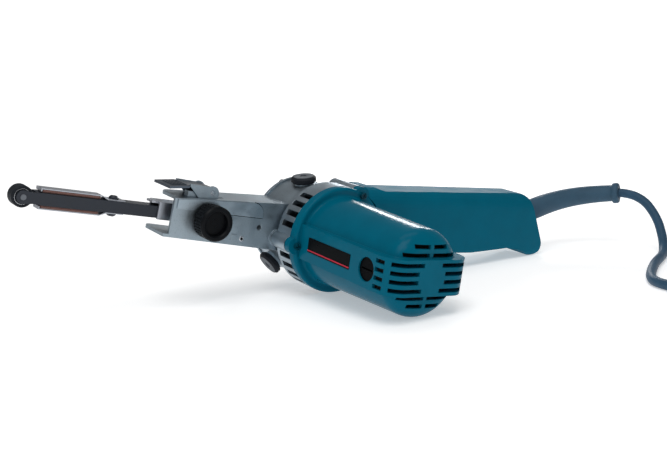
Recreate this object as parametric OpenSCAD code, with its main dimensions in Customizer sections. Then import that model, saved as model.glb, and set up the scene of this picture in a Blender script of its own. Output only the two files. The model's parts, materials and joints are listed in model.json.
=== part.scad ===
// Power file: a narrow belt sander with a cross-wise motor, a rear handle and a long sprung belt arm.
// Local frame of every module: x from arm tip to handle, y up, z from the belt plane towards the motor end.
// All nodes are then set down in the resting pose: motor collar, motor end and handle heel on the floor.

/* [Belt drive] */
// Distance between the drive pulley and the front roller, set by a 533 mm belt
belt_reach = 235; // [200:0.5:260]
// Outside diameter of the front roller
roller_d = 15; // [10:0.5:25]
// Width of the front roller
roller_w = 9.2; // [6:0.1:14]
// Diameter of the roller pin
roller_pin_d = 4; // [3:0.1:6]
// Diameter of the drive pulley
pulley_d = 25; // [18:0.5:32]
// Width of the drive pulley
pulley_w = 10.4; // [8:0.1:16]
// Height of the pulley's crown over its edge
pulley_crown = 0.4; // [0.1:0.1:1]

/* [Belt arm] */
// Thickness of the arm across the belt
arm_t = 13; // [10:0.5:18]
// Height of the arm bar
arm_h = 8.5; // [6:0.1:12]
// Height of the fork cheeks at the roller
fork_h = 9.2; // [6:0.1:12]
// Width of the fork's slot
fork_slot_w = 9.9; // [7:0.1:15]
// Length of the fork's slot behind the roller axis
fork_slot_l = 9.4; // [8:0.1:16]
// Rear end of the arm
arm_tail_x = 112; // [100:1:120]
// Front end of the pads, as a share of the free arm
pad_front_share = 0.139; // [0.109:0.001:0.169]
// Rear end of the backing pads
pad_rear_share = 0.599; // [0.569:0.001:0.629]
// Thickness of a backing pad
pad_t = 2.2; // [1:0.1:4]
// Width of pads and leaves
pad_w = 10; // [6:0.5:12]
// Thickness of the steel leaf over a pad
leaf_t = 0.8; // [0.4:0.1:1.5]
// Where the leaf meets the arm again
leaf_foot_share = 0.642; // [0.612:0.001:0.672]
// Rear end of the leaf
leaf_rear_share = 0.781; // [0.751:0.001:0.811]
// Place of the leaf screw
leaf_screw_share = 0.706; // [0.676:0.001:0.736]
// Head diameter of a leaf screw
leaf_screw_head_d = 7; // [4:0.1:8]
// Head height of a leaf screw
leaf_screw_head_h = 2.2; // [1:0.1:3]
// Shank diameter of a leaf screw
leaf_screw_d = 3; // [2:0.1:4]

/* [Arm carrier] */
// Front of the carrier's cheeks
carrier_front_x = 137; // [125:1:145]
// Front of the carrier's top tongue
carrier_tongue_x = 141.5; // [130:0.5:150]
// Rear of the carrier
carrier_rear_x = 72; // [60:1:90]
// Sheet thickness of the carrier
carrier_t = 1.6; // [1:0.1:3]
// Depth of the cheeks below the arm's middle
carrier_drop = 5; // [3:0.1:7]
// Height of the carrier's top
carrier_rise = 7.8; // [5:0.1:10]
// Diameter of the carrier's pin
carrier_pin_d = 4; // [3:0.1:6]
// Place of that pin
carrier_pin_x = 124; // [114:1:132]
// Diameter of the guide rod
rod_d = 6; // [4:0.1:8]
// Front end of the guide rod
rod_front_x = 92; // [85:1:100]
// Travel of the arm into the head
arm_travel = 10; // [4:0.5:14]
// Wire diameter of the tension spring
spring_wire_d = 1.6; // [0.8:0.1:2.5]
// Middle diameter of the tension spring
spring_mid_d = 10.4; // [8:0.1:14]
// Turns of the tension spring
spring_turns = 5; // [3:1:9]

/* [Head] */
// Angle between the arm and the handle's line
head_turn = 5; // [0:0.5:20]
// Half depth of the head across the belt
head_half = 17.5; // [12:0.5:24]
// Wall thickness of the head
head_wall = 2.5; // [1.5:0.1:4]
// Front edge of the near wall
head_front_x = 130.5; // [110:0.5:145]
// Front edge of the bottom plate
head_lip_x = 135; // [110:0.5:150]
// Front edge of the top plate
head_top_x = 126.5; // [105:0.5:145]
// Set-back of the top plate's far corner
head_top_skew = 5.5; // [0:0.5:12]
// Rear end of the straight head
head_rear_x = 30; // [20:1:40]
// Height of the head's top at its front
head_top_front_y = 13.6; // [10:0.1:20]
// Height of the head's top at its rear
head_top_rear_y = 19.6; // [12:0.1:26]
// Depth of the head's bottom at its front
head_low_front_y = 15.2; // [10:0.1:20]
// Depth of the head's bottom at its rear
head_low_rear_y = 17.8; // [12:0.1:26]
// Corner radius of the plates' far front corners
head_corner_r = 8; // [2:0.5:14]
// Radius of the pulley drum
drum_r = 37; // [30:0.5:45]
// Wall thickness of the pulley drum
drum_wall = 3.4; // [2:0.1:6]
// Place of the rib that holds the guide rod
rib_x = 46; // [40:1:60]
// Thickness of the rib
rib_t = 5; // [3:0.5:8]
// Half height of the rib
rib_half = 8; // [5:0.5:10]
// Thickness of the raised cover panel
panel_t = 0.9; // [0.5:0.1:2]
// Rear edge of the cover panel
panel_rear_x = 55; // [45:1:70]
// Front edge of the cover panel
panel_front_x = 128; // [100:1:130]
// Lower edge of the cover panel over the arm's middle
panel_low_y = 6.2; // [2:0.1:10]
// Corner radius of the cover panel
panel_corner_r = 9; // [3:0.5:12]
// Drop of the panel's upper edge
panel_top_drop = 0.6; // [0.2:0.1:3]
// Thickness of the belt cover on the far side
belt_cover_t = 2.4; // [1.5:0.1:4]
// Front edge of the belt cover
belt_cover_x = 62; // [50:1:90]
// Diameter of the tapped hole in the near wall
port_d = 4.2; // [3:0.1:6]
// Place of the tapped hole along the arm
port_x = 56; // [45:1:70]
// Place of the tapped hole below the arm's middle
port_drop = 1.4; // [0:0.1:6]

/* [Tracking knob] */
// Diameter of the knob
knob_d = 26; // [18:0.5:36]
// Height of the knob
knob_h = 13.4; // [8:0.1:20]
// Place of the knob along the arm
knob_x = 101; // [85:1:120]
// Number of knurl grooves
knob_grooves = 36; // [12:1:60]
// Diameter of a knurl groove
knob_groove_d = 1.3; // [0.5:0.1:3]
// Diameter of the recess in the knob's face
knob_recess_d = 18; // [8:0.5:22]
// Depth of the recess
knob_recess_h = 4.6; // [1:0.1:8]
// Bevel of the knob's edge
knob_bevel = 1; // [0.2:0.1:3]
// Diameter of the knob's screw
knob_screw_d = 6; // [4:0.1:8]

/* [Release lever] */
// Place of the lever's pin along the arm
lever_pin_x = 98; // [85:1:110]
// Height of the lever's pin
lever_pin_y = 19.6; // [15:0.1:25]
// Diameter of the lever's pin
lever_pin_d = 4; // [2:0.1:6]
// Front edge of the thumb plate
lever_front_x = 134; // [120:1:145]
// Rear edge of the thumb plate
lever_pad_rear_x = 119; // [105:1:125]
// Width of the thumb plate
lever_w = 26; // [16:0.5:34]
// Sheet thickness of the lever
lever_t = 1.8; // [1:0.1:3]
// Height of the thumb plate at its front
lever_front_y = 19; // [17:0.1:26]
// Height of the thumb plate at its rear
lever_rear_y = 21.2; // [18:0.1:27]
// Number of ridges on the thumb plate
lever_ridges = 5; // [3:1:9]
// Width of a ridge
lever_ridge_w = 1.2; // [0.6:0.1:2]
// Height of a ridge
lever_ridge_h = 0.8; // [0.3:0.1:2]
// Press of the lever in degrees
lever_press = 4; // [2:0.5:8]
// Thickness of a bracket ear
ear_t = 1.6; // [1:0.1:3]
// Outer half width over the bracket ears
ear_half = 12; // [8:0.5:15]
// Height of the ear's front corner
ear_front_y = 24.2; // [20:0.1:28]
// Place of the ear's front corner
ear_front_x = 117.5; // [108:0.5:125]
// Foot of the ear's front edge
ear_foot_x = 109; // [100:0.5:115]
// Rear end of the ear
ear_rear_x = 93; // [85:0.5:97]
// Width of the rubber stop under the lever
stop_w = 7; // [4:0.5:12]
// Top of the rubber stop
stop_top_y = 18.8; // [17:0.1:22]

/* [Bumpers] */
// Diameter of a rubber bumper
bumper_d = 20; // [12:0.5:28]
// Height of a rubber bumper
bumper_h = 5.4; // [3:0.1:10]
// Diameter of the boss under a bumper
bumper_boss_d = 15; // [10:0.5:22]
// Distance of the boss face from the drive axis
bumper_seat_r = 39; // [36:0.5:46]
// Seat of the top bumper
bumper_top_seat_r = 37.6; // [36:0.1:46]
// Angle of the upper bumper from upright
bumper_top_angle = 18; // [0:1:60]
// Angle of the lower bumper
bumper_low_angle = 138; // [100:1:170]
// Diameter of a bumper screw head
bumper_screw_d = 4; // [2:0.1:6]

/* [Motor bracket] */
// Outer radius of bracket and housing collar
collar_r = 41.6; // [36:0.1:50]
// Wall of the slotted ring
ring_wall = 3.8; // [2:0.1:6]
// Where the bracket starts
bracket_m0 = 20; // [15:0.5:25]
// Seam of bracket and housing
seam_m = 39; // [30:0.5:50]
// Thickness of the bracket's web
web_t = 3; // [2:0.1:6]
// Width of an exhaust slot round the ring
slot_w = 4.6; // [2:0.1:8]
// Pitch of the exhaust slots in degrees
slot_pitch = 12; // [8:1:20]
// Radius of a screw lug
lug_r = 6.6; // [4:0.1:10]
// Pitch radius of the screw lugs
lug_pitch_r = 39.4; // [34:0.1:46]
// Turn of the first lug below the front in degrees
lug_turn = 6; // [0:1:30]
// Diameter of the housing screws
lug_screw_d = 4; // [3:0.1:6]
// Head diameter of the housing screws
lug_head_d = 5.2; // [4.4:0.1:5.6]
// Head height of the housing screws
lug_head_h = 2.4; // [1.5:0.1:5]

/* [Motor housing] */
// Face of the collar's shoulder
shoulder_m = 46; // [42:0.5:60]
// Barrel radius behind the shoulder
barrel_r0 = 34.6; // [28:0.1:40]
// Barrel radius at the motor end
barrel_r1 = 32.2; // [26:0.1:38]
// Where the barrel's end rounding starts
barrel_round_m = 138; // [120:0.5:150]
// Flat end of the barrel
barrel_end_m = 151.5; // [130:0.5:165]
// Round between shoulder and barrel
fillet_r = 2.2; // [1:0.1:4.5]
// Edge rounding of the collar
collar_round = 2.4; // [1:0.1:5]
// End face of the raised band
band_end_m = 155.5; // [140:0.5:170]
// Half width of the raised band
band_half = 36.4; // [33:0.1:42]
// Half height of the raised band
band_half_h = 13; // [8:0.5:18]
// Corner radius of the raised band
band_corner_r = 15; // [5:0.5:20]
// Wall thickness of the housing
shell_t = 3; // [2:0.1:5]
// Pitch of the cooling slots in the end
vent_pitch = 6; // [4:0.1:10]
// Height of a cooling slot
vent_h = 3; // [1:0.1:6]
// Radius of the plain disc in the end
vent_disc_r = 12; // [8:0.5:18]
// Half length of the upper and lower slot rows
vent_end_half = 14.5; // [8:0.5:20]
// Half length of the second slot rows
vent_mid_half = 23; // [12:0.5:30]
// Half length of the rows in the band
vent_band_half = 33; // [20:0.5:40]
// Width of the rib that splits the slots
vent_rib_w = 3; // [1:0.1:6]
// Place of the brush caps along the motor
brush_m = 128; // [110:0.5:140]
// Diameter of a brush cap
brush_cap_d = 17; // [10:0.1:20]
// Depth of the brush cap below the band
brush_cap_sink = 1.2; // [0:0.1:3]
// Height of a brush cap
brush_cap_h = 4.4; // [2:0.1:8]

/* [Handle] */
// Near side of the handle
handle_near_m = 46; // [40:0.5:60]
// Far side of the handle
handle_far_m = 6; // [-10:0.5:15]
// Top of the handle behind the hump
handle_top_y = 38.8; // [30:0.1:45]
// Rise of the handle's top to its rear
handle_top_rise = 2.2; // [0:0.1:8]
// Rear end of the handle's top
handle_top_x = 196; // [170:1:230]
// Rear end of the heel
handle_rear_x = 229.5; // [200:0.5:260]
// Height of the heel's rear bulge
handle_heel_y = -3.5; // [-20:0.5:10]
// Lowest point of the heel along the handle
heel_x = 217; // [190:0.5:240]
// Lowest point of the heel
heel_y = -14.4; // [-25:0.1:0]
// Highest point of the grip's underside
grip_x = 184; // [160:1:200]
// Highest point of the grip's underside
grip_y = -6.8; // [-15:0.1:5]
// Deepest point of the grip's swell
swell_x = 142; // [110:1:160]
// Deepest point of the grip's swell
swell_y = -10.8; // [-25:0.1:0]
// Front of the handle's underside
neck_x = 48; // [40:1:70]
// Depth of the handle's underside at its front
neck_y = -24; // [-35:0.5:0]
// Rear end of the hump over the collar
hump_x = 32; // [20:0.5:45]
// Length of the hump's slope
hump_slope = 11; // [4:0.5:20]
// Edge radius across the handle
handle_edge_r = 7; // [2:0.5:15]
// Rounding of the handle's top edges
handle_top_r = 15; // [8:0.5:18]
// Corner radius of the handle's outline
handle_corner_r = 9; // [4:0.5:14]
// Diameter of the handle screws
handle_screw_d = 4; // [3:0.1:6]
// Head diameter of the handle screws
handle_head_d = 7.2; // [5:0.1:10]

/* [Trigger and switch] */
// Front of the trigger
trigger_x = 66; // [55:1:90]
// Length of the trigger
trigger_l = 34; // [20:1:50]
// Width of the trigger
trigger_w = 12; // [8:0.5:20]
// Lowest point of the trigger
trigger_low_y = -30; // [-40:0.5:-10]
// Top of the trigger
trigger_top_y = -4; // [-10:0.5:5]
// Travel of the trigger
trigger_travel = 4; // [2:0.5:8]
// Length of the switch body
switch_l = 46; // [30:1:60]
// Height of the switch body
switch_h = 26; // [15:1:32]

/* [Motor inside] */
// Shaft diameter
shaft_d = 8; // [6:0.1:12]
// Outside diameter of the front bearing
front_bearing_d = 22; // [18:0.5:30]
// Width of the front bearing
front_bearing_w = 7; // [5:0.5:10]
// Outside diameter of the rear bearing
rear_bearing_d = 19; // [15:0.5:24]
// Width of the rear bearing
rear_bearing_w = 6; // [4:0.5:9]
// Radius of the fan
fan_r = 32.2; // [25:0.1:37]
// Number of fan blades
fan_blades = 12; // [6:1:20]
// Thickness of a fan blade
fan_blade_t = 1.6; // [1:0.1:3]
// Start of the motor cores along the motor
core_m = 64; // [55:1:75]
// Length of the motor cores
core_l = 40; // [25:1:50]
// Radius of the armature core
armature_r = 17.6; // [14:0.1:22]
// Air gap between armature and field
air_gap = 0.6; // [0.3:0.1:1.5]
// Radius of the field core
field_r = 29.6; // [25:0.1:32]
// Radius of the commutator
commutator_r = 11; // [8:0.1:15]
// Length of the commutator
commutator_l = 18; // [10:1:24]
// Length of the winding heads
winding_l = 9; // [5:0.5:14]
// Width of a brush along the motor
brush_w = 8; // [5:0.5:10]
// Thickness of a brush round the commutator
brush_t = 5; // [3:0.5:8]

/* [Cord] */
// Diameter of the cord
cord_d = 8; // [5:0.1:10]
// Diameter of the cord guard at the handle
guard_base_d = 19; // [14:0.5:24]
// Diameter of the cord guard at its end
guard_tip_d = 14.8; // [11:0.1:20]
// Diameter of the guard's end collar
guard_collar_d = 19; // [14:0.5:24]
// Turns of the coil in each of its two layers
coil_turns = 3.375; // [1.375:1:5.375]
// Radius of the coil's outer turn
coil_r = 65; // [45:0.5:90]
// Spacing of the turns side by side
coil_pitch = 9.7; // [8.5:0.1:14]
// Width of the plug
plug_w = 36; // [26:0.5:45]
// Length of the plug
plug_l = 44; // [30:1:60]
// Corner radius of the plug
plug_corner_r = 7; // [2:0.5:12]
// Diameter of the plug's neck
plug_neck_d = 13; // [10:0.5:18]
// Length of the plug's neck
plug_neck_l = 5; // [2:0.5:12]
// Diameter of a plug pin
pin_d = 4.8; // [4:0.1:6]
// Length of a plug pin outside the plug
pin_l = 19; // [15:0.5:25]
// Distance between the plug pins
pin_gap = 19; // [12:0.5:25]
// Depth of a pin's seat in the plug
pin_seat = 8; // [4:0.5:12]

/* [Hidden] */
e = 0.5;
fine = 96;
mid = 48;
rough = 32;
gap = 0.4;
run_gap = 0.05;
snug = 0.02;

// Places along the free arm, from the drive axis
free_arm = belt_reach - carrier_tongue_x;
pad_front_x = belt_reach - pad_front_share * free_arm;
pad_rear_x = belt_reach - pad_rear_share * free_arm;
leaf_foot_x = belt_reach - leaf_foot_share * free_arm;
leaf_rear_x = belt_reach - leaf_rear_share * free_arm;
leaf_screw_x = belt_reach - leaf_screw_share * free_arm;

// Resting pose, from the three places that touch the floor
collar_turn_r = collar_r - collar_round;
collar_turn_m = shoulder_m - collar_round;
end_round = barrel_end_m - barrel_round_m;
end_turn_r = barrel_r1 - end_round;
turn_r = collar_turn_r - end_turn_r;
turn_m = barrel_round_m - collar_turn_m;
rest_roll = acos((end_round - collar_round) / norm([turn_r, turn_m])) - atan2(turn_m, turn_r);
handle_mid_m = (handle_near_m + handle_far_m) / 2;
floor_drop = collar_turn_r * cos(rest_roll) + collar_turn_m * sin(rest_roll) + collar_round;
heel_r = 10;
heel_sink = 0.4;
heel_lift = handle_edge_r - heel_sink;
heel_touch_m = handle_near_m - handle_edge_r + sqrt(handle_edge_r * handle_edge_r - heel_lift * heel_lift);
heel_level = (floor_drop - heel_touch_m * sin(rest_roll)) / cos(rest_roll);
heel_turn_y = heel_y + heel_r;
rest_pitch = asin((heel_level - heel_r) / norm([heel_x, heel_turn_y])) - atan2(-heel_turn_y, heel_x);
// Origin under the middle of the tool without its cord
origin_x = -38.4;
origin_y = 65.8;
function pitched(p) = [p[0] * cos(rest_pitch) + p[1] * sin(rest_pitch), -p[2],
    -p[0] * sin(rest_pitch) + p[1] * cos(rest_pitch)];
function rolled(q) = [q[0], q[1] * cos(rest_roll) - q[2] * sin(rest_roll),
    q[1] * sin(rest_roll) + q[2] * cos(rest_roll)];
function set_down(p) = rolled(pitched(p)) + [origin_x, origin_y, floor_drop];
module posed() {
    translate([origin_x, origin_y, floor_drop])
        rotate([rest_roll, 0, 0])
            rotate([0, rest_pitch, 0])
                rotate([90, 0, 0])
                    children();
}
module headed() {
    posed()
        rotate([0, 0, -head_turn])
            children();
}
// Points of an arc, in degrees
function arc(c, r, a0, a1, n) = [for (i = [0:n]) c + r * [cos(a0 + (a1 - a0) * i / n), sin(a0 + (a1 - a0) * i / n)]];
module bar(x0, x1, y0, y1, z0, z1) {
    translate([min(x0, x1), min(y0, y1), min(z0, z1)])
        cube([abs(x1 - x0), abs(y1 - y0), abs(z1 - z0)]);
}
module rod_z(x, y, d, z0, z1, f = mid) {
    translate([x, y, z0])
        cylinder(d = d, h = z1 - z0, $fn = f);
}
module rod_x(x0, x1, d, y, z, f = mid) {
    translate([x0, y, z])
        rotate([0, 90, 0])
            cylinder(d = d, h = x1 - x0, $fn = f);
}
module spun(points) {
    rotate_extrude($fn = fine)
        polygon(points);
}
module at_lugs() {
    for (i = [0:2])
        rotate([0, 0, 180 + lug_turn - i * 120])
            translate([lug_pitch_r, 0, 0])
                children();
}
// A tube of n sides swept along points
function unit(v) = v / norm(v);
function turn_to(v, a, b) = v - b * (v * b) == [0, 0, 0] ? v : unit(v - b * (v * b));
function tangents(p) = [for (i = [0:len(p) - 1]) unit(p[min(i + 1, len(p) - 1)] - p[max(i - 1, 0)])];
function sides(t, i = 0, v = undef) =
    let (w = turn_to(v == undef ? (abs(t[0][2]) < 0.9 ? [0, 0, 1] : [1, 0, 0]) : v, t[max(i - 1, 0)], t[i]))
        i == len(t) - 1 ? [w] : concat([w], sides(t, i + 1, w));
function ring(c, u, w, r, n) = [for (k = [0:n - 1]) c + r * (cos(360 * k / n) * u + sin(360 * k / n) * w)];
function rings(p, r, n) = let (t = tangents(p), s = sides(t))
    [for (i = [0:len(p) - 1]) each ring(p[i], s[i], cross(t[i], s[i]), is_list(r) ? r[i] : r, n)];
function skin(m, n, o = 0, flip = false) = [for (i = [0:m - 2]) for (k = [0:n - 1])
    let (a = o + i * n + k, b = o + i * n + (k + 1) % n, c = a + n, d = b + n)
        each flip ? [[a, c, b], [b, c, d]] : [[a, b, c], [b, d, c]]];
module tube(p, r, n) {
    m = len(p);
    v = concat(rings(p, r, n), [p[0], p[m - 1]]);
    ends = [for (k = [0:n - 1]) each [[m * n, (k + 1) % n, k],
        [m * n + 1, (m - 1) * n + k, (m - 1) * n + (k + 1) % n]]];
    polyhedron(points = v, faces = concat(skin(m, n), ends));
}
module pipe(p, r, bore, n) {
    m = len(p);
    o = m * n;
    v = concat(rings(p, r, n), rings(p, bore, n));
    ends = [for (k = [0:n - 1]) let (j = (k + 1) % n, z = (m - 1) * n)
        each [[k, o + j, j], [k, o + k, o + j], [z + k, z + j, o + z + j], [z + k, o + z + j, o + z + k]]];
    polyhedron(points = v, faces = concat(skin(m, n), skin(m, n, o, true), ends));
}

// Handle outline and its two shells
rear_r = 12;
rear_slope = 31;
heel_front_turn = -115;
rear_inset = 0.6;
swell_share = 0.5;
lip_share = 0.36;
lip_drop = 2.6;
section_top_y = 42.2;
section_low_y = heel_y - heel_sink;
neck_low_y = -34;
grip_start_x = 112;
handle_front_x = 24;
outline_top = [[0, collar_r], [hump_x, collar_r], [hump_x + hump_slope, handle_top_y]];
outline_rear = concat(
    arc([handle_top_x + rear_inset, handle_top_y + handle_top_rise - rear_r], rear_r, 90, rear_slope, 6),
    arc([heel_x, heel_y + heel_r], heel_r, rear_slope, heel_front_turn, 12));
outline_low = [
    [heel_x + (grip_x - heel_x) * lip_share, grip_y - lip_drop],
    [grip_x, grip_y],
    [grip_x + (swell_x - grip_x) * swell_share, grip_y + (swell_y - grip_y) * swell_share],
    [swell_x, swell_y],
    [grip_start_x, swell_y],
    [neck_x, neck_y],
    [0, neck_y]];
module handle_side(inset) {
    offset(delta = -inset)
        polygon(concat(outline_top, outline_rear, outline_low));
}
module handle_section(inset, low) {
    h = section_top_y - low - 2 * inset;
    w = handle_near_m - handle_far_m - 2 * inset;
    r = handle_edge_r - inset / 2;
    top_r = handle_top_r - inset;
    translate([0, low + inset + r, handle_far_m + inset + r])
        rotate([90, 0, 90])
            linear_extrude(handle_rear_x + e)
                intersection() {
                    offset(r = r, $fn = rough)
                        square([h - 2 * r, w - 2 * r]);
                    translate([-h, top_r - r])
                        offset(r = top_r, $fn = rough)
                            square([2 * h - r - top_r, w - 2 * top_r]);
                }
}
module handle_solid(inset) {
    intersection() {
        translate([0, 0, handle_far_m])
            linear_extrude(handle_near_m - handle_far_m)
                handle_side(inset);
        union() {
            translate([grip_start_x, 0, 0])
                handle_section(inset, section_low_y);
            intersection() {
                handle_section(inset, neck_low_y);
                bar(0, grip_start_x + e, neck_low_y, section_top_y, handle_far_m, handle_near_m);
            }
        }
    }
}
// Cord guard: straight in the handle's mouth, then one bend
guard_start = [206, 16.9, handle_mid_m];
guard_rise = 18;
guard_mouth_l = 34;
guard_lead_l = 30;
guard_way = [cos(guard_rise), sin(guard_rise), 0];
guard_mouth = guard_start + guard_mouth_l * guard_way;
guard_lead = guard_mouth + guard_lead_l * guard_way;
guard_droop = [289, 43, 37];
guard_end = [302, 49, 62];
function bend(t) = pow(1 - t, 3) * guard_mouth + 3 * t * pow(1 - t, 2) * guard_lead
    + 3 * t * t * (1 - t) * guard_droop + pow(t, 3) * guard_end;
guard_fit = 0.3;
guard_sides = 16;
guard_rings = 16;
collar_share = 0.93;
collar_edge_share = 0.94;
guard_steps = concat([for (i = [0:guard_rings]) collar_share * i / guard_rings], [collar_edge_share, 1]);
guard_route = concat([guard_start], [for (t = guard_steps) bend(t)]);
guard_radii = concat([guard_base_d / 2], [for (t = guard_steps) t > collar_share ? guard_collar_d / 2
    : guard_base_d / 2 + (guard_tip_d - guard_base_d) / 2 * t]);
boss_d = 9;
screw_spots = [[60, 26], [122, 30], [196, 2]];
clamp_x = 174;
clamp_l = 14;
clamp_h = 24;
clamp_y = 14;
module handle_cuts() {
    translate(guard_start)
        rotate([0, 90, guard_rise])
            cylinder(d = guard_base_d + 2 * guard_fit, h = 2 * guard_mouth_l, $fn = mid);
    // way for the trigger
    bar(trigger_x - gap, trigger_x + trigger_l + gap, neck_low_y, 0,
        handle_mid_m - trigger_w / 2 - gap, handle_mid_m + trigger_w / 2 + gap);
    rod_z(0, 0, 2 * (collar_r + gap), handle_far_m - e, seam_m, fine);
    at_lugs()
        rod_z(0, 0, 2 * (lug_r + gap), handle_far_m - e, seam_m);
    bar(-e, handle_front_x, neck_low_y, section_top_y + e, handle_far_m - e, seam_m);
}
module screw_bosses(z0, z1) {
    for (s = screw_spots)
        rod_z(s[0], s[1], boss_d, z0, z1, rough);
}

// Profile of the motor housing
housing_outer = concat(
    [[0, seam_m], [collar_r, seam_m]],
    arc([collar_r - collar_round, shoulder_m - collar_round], collar_round, 0, 90, 6),
    arc([barrel_r0 + fillet_r, shoulder_m + fillet_r], fillet_r, 270, 180, 8),
    arc([barrel_r1 - (barrel_end_m - barrel_round_m), barrel_round_m], barrel_end_m - barrel_round_m, 0, 90, 12),
    [[0, barrel_end_m]]);
housing_inner = [[0, seam_m - e], [collar_r - ring_wall, seam_m - e], [collar_r - ring_wall, shoulder_m - shell_t],
    [barrel_r0 - shell_t, shoulder_m], [barrel_r1 - shell_t, barrel_round_m],
    [barrel_r1 - 3 * shell_t, barrel_end_m - shell_t], [0, barrel_end_m - shell_t]];
rear_bearing_m = barrel_end_m - shell_t - rear_bearing_w;
rear_seat_t = 3;
module vents() {
    for (row = [-3.5:1:3.5]) {
        y = row * vent_pitch;
        half = abs(row) > 3 ? vent_end_half : abs(row) > 2 ? vent_mid_half : vent_band_half;
        inner = abs(row) > 2 ? vent_rib_w / 2 : sqrt(vent_disc_r * vent_disc_r - y * y);
        for (s = [-1, 1])
            bar(s * inner, s * half, y - vent_h / 2, y + vent_h / 2, barrel_round_m + shell_t, band_end_m + e);
    }
    for (row = [-1.5:1:1.5])
        for (s = [-1, 1])
            bar(s * (barrel_r1 - 2 * shell_t), s * (band_half + e),
                row * vent_pitch - vent_h / 2, row * vent_pitch + vent_h / 2,
                brush_m + brush_cap_d / 2 + 1.5 * gap, brush_m + brush_cap_d / 2 + 3 * vent_h);
}
module motor_housing() {
    color([0.02, 0.33, 0.4]) posed() {
        difference() {
            union() {
                difference() {
                    union() {
                        spun(housing_outer);
                        intersection() {
                            translate([0, -band_half_h, 0])
                                rotate([-90, 0, 0])
                                    linear_extrude(2 * band_half_h)
                                        offset(r = band_corner_r, $fn = mid)
                                            translate([-band_half + band_corner_r, -band_end_m + band_corner_r])
                                                square([2 * (band_half - band_corner_r), band_end_m - shoulder_m]);
                            bar(-band_half, band_half, -band_half_h, band_half_h, shoulder_m, band_end_m);
                        }
                        at_lugs()
                            rod_z(0, 0, 2 * lug_r, seam_m + gap, shoulder_m - gap);
                    }
                    spun(housing_inner);
                    vents();
                    at_lugs()
                        rod_z(0, 0, lug_screw_d + 2 * snug, seam_m - e, 2 * shoulder_m, rough);
                    for (s = [-1, 1])
                        rotate([0, 90 * s, 0])
                            translate([-s * brush_m, 0, barrel_r1 - 2 * shell_t - e])
                                cylinder(d = brush_cap_d + 2 * snug, h = band_half, $fn = mid);
                }
                difference() {
                    rod_z(0, 0, rear_bearing_d + 2 * rear_seat_t, rear_bearing_m, barrel_end_m - shell_t + e, mid);
                    rod_z(0, 0, rear_bearing_d + 2 * snug, rear_bearing_m - e, barrel_end_m - shell_t, mid);
                }
            }
        }
    }
}
// Near half of the handle
module handle_shell() {
    color([0.02, 0.33, 0.4]) posed()
        difference() {
            intersection() {
                handle_solid(0);
                bar(0, handle_rear_x + e, neck_low_y - e, section_top_y + e, handle_mid_m, handle_near_m + e);
            }
            difference() {
                handle_solid(shell_t);
                rod_z(0, 0, 2 * (collar_r + shell_t), handle_far_m, handle_near_m + e, fine);
                screw_bosses(handle_mid_m, handle_near_m);
            }
            handle_cuts();
            rod_z(0, 0, 2 * (collar_r + snug), seam_m - e, handle_near_m + e, fine);
            at_lugs()
                rod_z(0, 0, 2 * (lug_r + snug), seam_m - e, handle_near_m + e);
            bar(-e, handle_front_x, neck_low_y, section_top_y + e, seam_m - e, handle_near_m + e);
            for (s = screw_spots)
                rod_z(s[0], s[1], handle_screw_d - snug, handle_mid_m - e, handle_near_m - shell_t, rough);
        }
}
module handle_cover() {
    color([0.02, 0.33, 0.4]) posed() {
        difference() {
            intersection() {
                handle_solid(0);
                bar(0, handle_rear_x + e, neck_low_y - e, section_top_y + e, handle_far_m - e, handle_mid_m - snug);
            }
            difference() {
                handle_solid(shell_t);
                rod_z(0, 0, 2 * (collar_r + shell_t), handle_far_m - e, handle_mid_m, fine);
                screw_bosses(handle_far_m, handle_mid_m - snug);
            }
            handle_cuts();
            for (s = screw_spots) {
                rod_z(s[0], s[1], handle_screw_d + 2 * snug, handle_far_m - e, handle_mid_m + e, rough);
                rod_z(s[0], s[1], handle_head_d + gap, handle_far_m - e, handle_far_m + shell_t, rough);
            }
        }
    }
}
module handle_screws() {
    color([0.2, 0.2, 0.22]) posed()
        for (s = screw_spots)
            difference() {
                union() {
                    rod_z(s[0], s[1], handle_screw_d - 2 * snug, handle_far_m + shell_t, handle_near_m - 2 * shell_t, rough);
                    rod_z(s[0], s[1], handle_head_d, handle_far_m + 2 * gap, handle_far_m + shell_t, rough);
                }
                for (a = [0, 90])
                    translate([s[0], s[1], handle_far_m + 2 * gap])
                        rotate([0, 0, a])
                            cube([handle_head_d - 2 * gap, 2 * gap, shell_t], center = true);
            }
}
slot_groups = [14, -20, -68];
slots_each = 4;
module bearing_bracket() {
    slots = [for (g = slot_groups) for (i = [0:slots_each - 1]) g + (g > 0 ? i : -i) * slot_pitch];
    color([0.62, 0.66, 0.68]) posed() {
        difference() {
            union() {
                spun([[0, bracket_m0], [collar_r - ring_wall / 2, bracket_m0], [collar_r, bracket_m0 + ring_wall / 2],
                    [collar_r, seam_m - snug], [collar_r - ring_wall, seam_m - snug],
                    [collar_r - ring_wall, bracket_m0 + web_t], [0, bracket_m0 + web_t]]);
                rod_z(0, 0, front_bearing_d + 2 * web_t, bracket_m0, bracket_m0 + web_t + front_bearing_w, mid);
                at_lugs()
                    rod_z(0, 0, 2 * lug_r, bracket_m0 + gap, seam_m - gap);
            }
            rod_z(0, 0, front_bearing_d + 2 * snug, bracket_m0 + web_t, seam_m + e, mid);
            rod_z(0, 0, shaft_d + 2 * web_t, bracket_m0 - e, seam_m, mid);
            at_lugs()
                rod_z(0, 0, lug_screw_d + 2 * snug, bracket_m0 - e, seam_m + e, rough);
            for (a = slots)
                rotate([0, 0, 180 - a])
                    bar(collar_r - 2 * ring_wall, collar_r + e, -slot_w / 2, slot_w / 2,
                        bracket_m0 + web_t + ring_wall / 2, seam_m + e);
        }
    }
}
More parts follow.
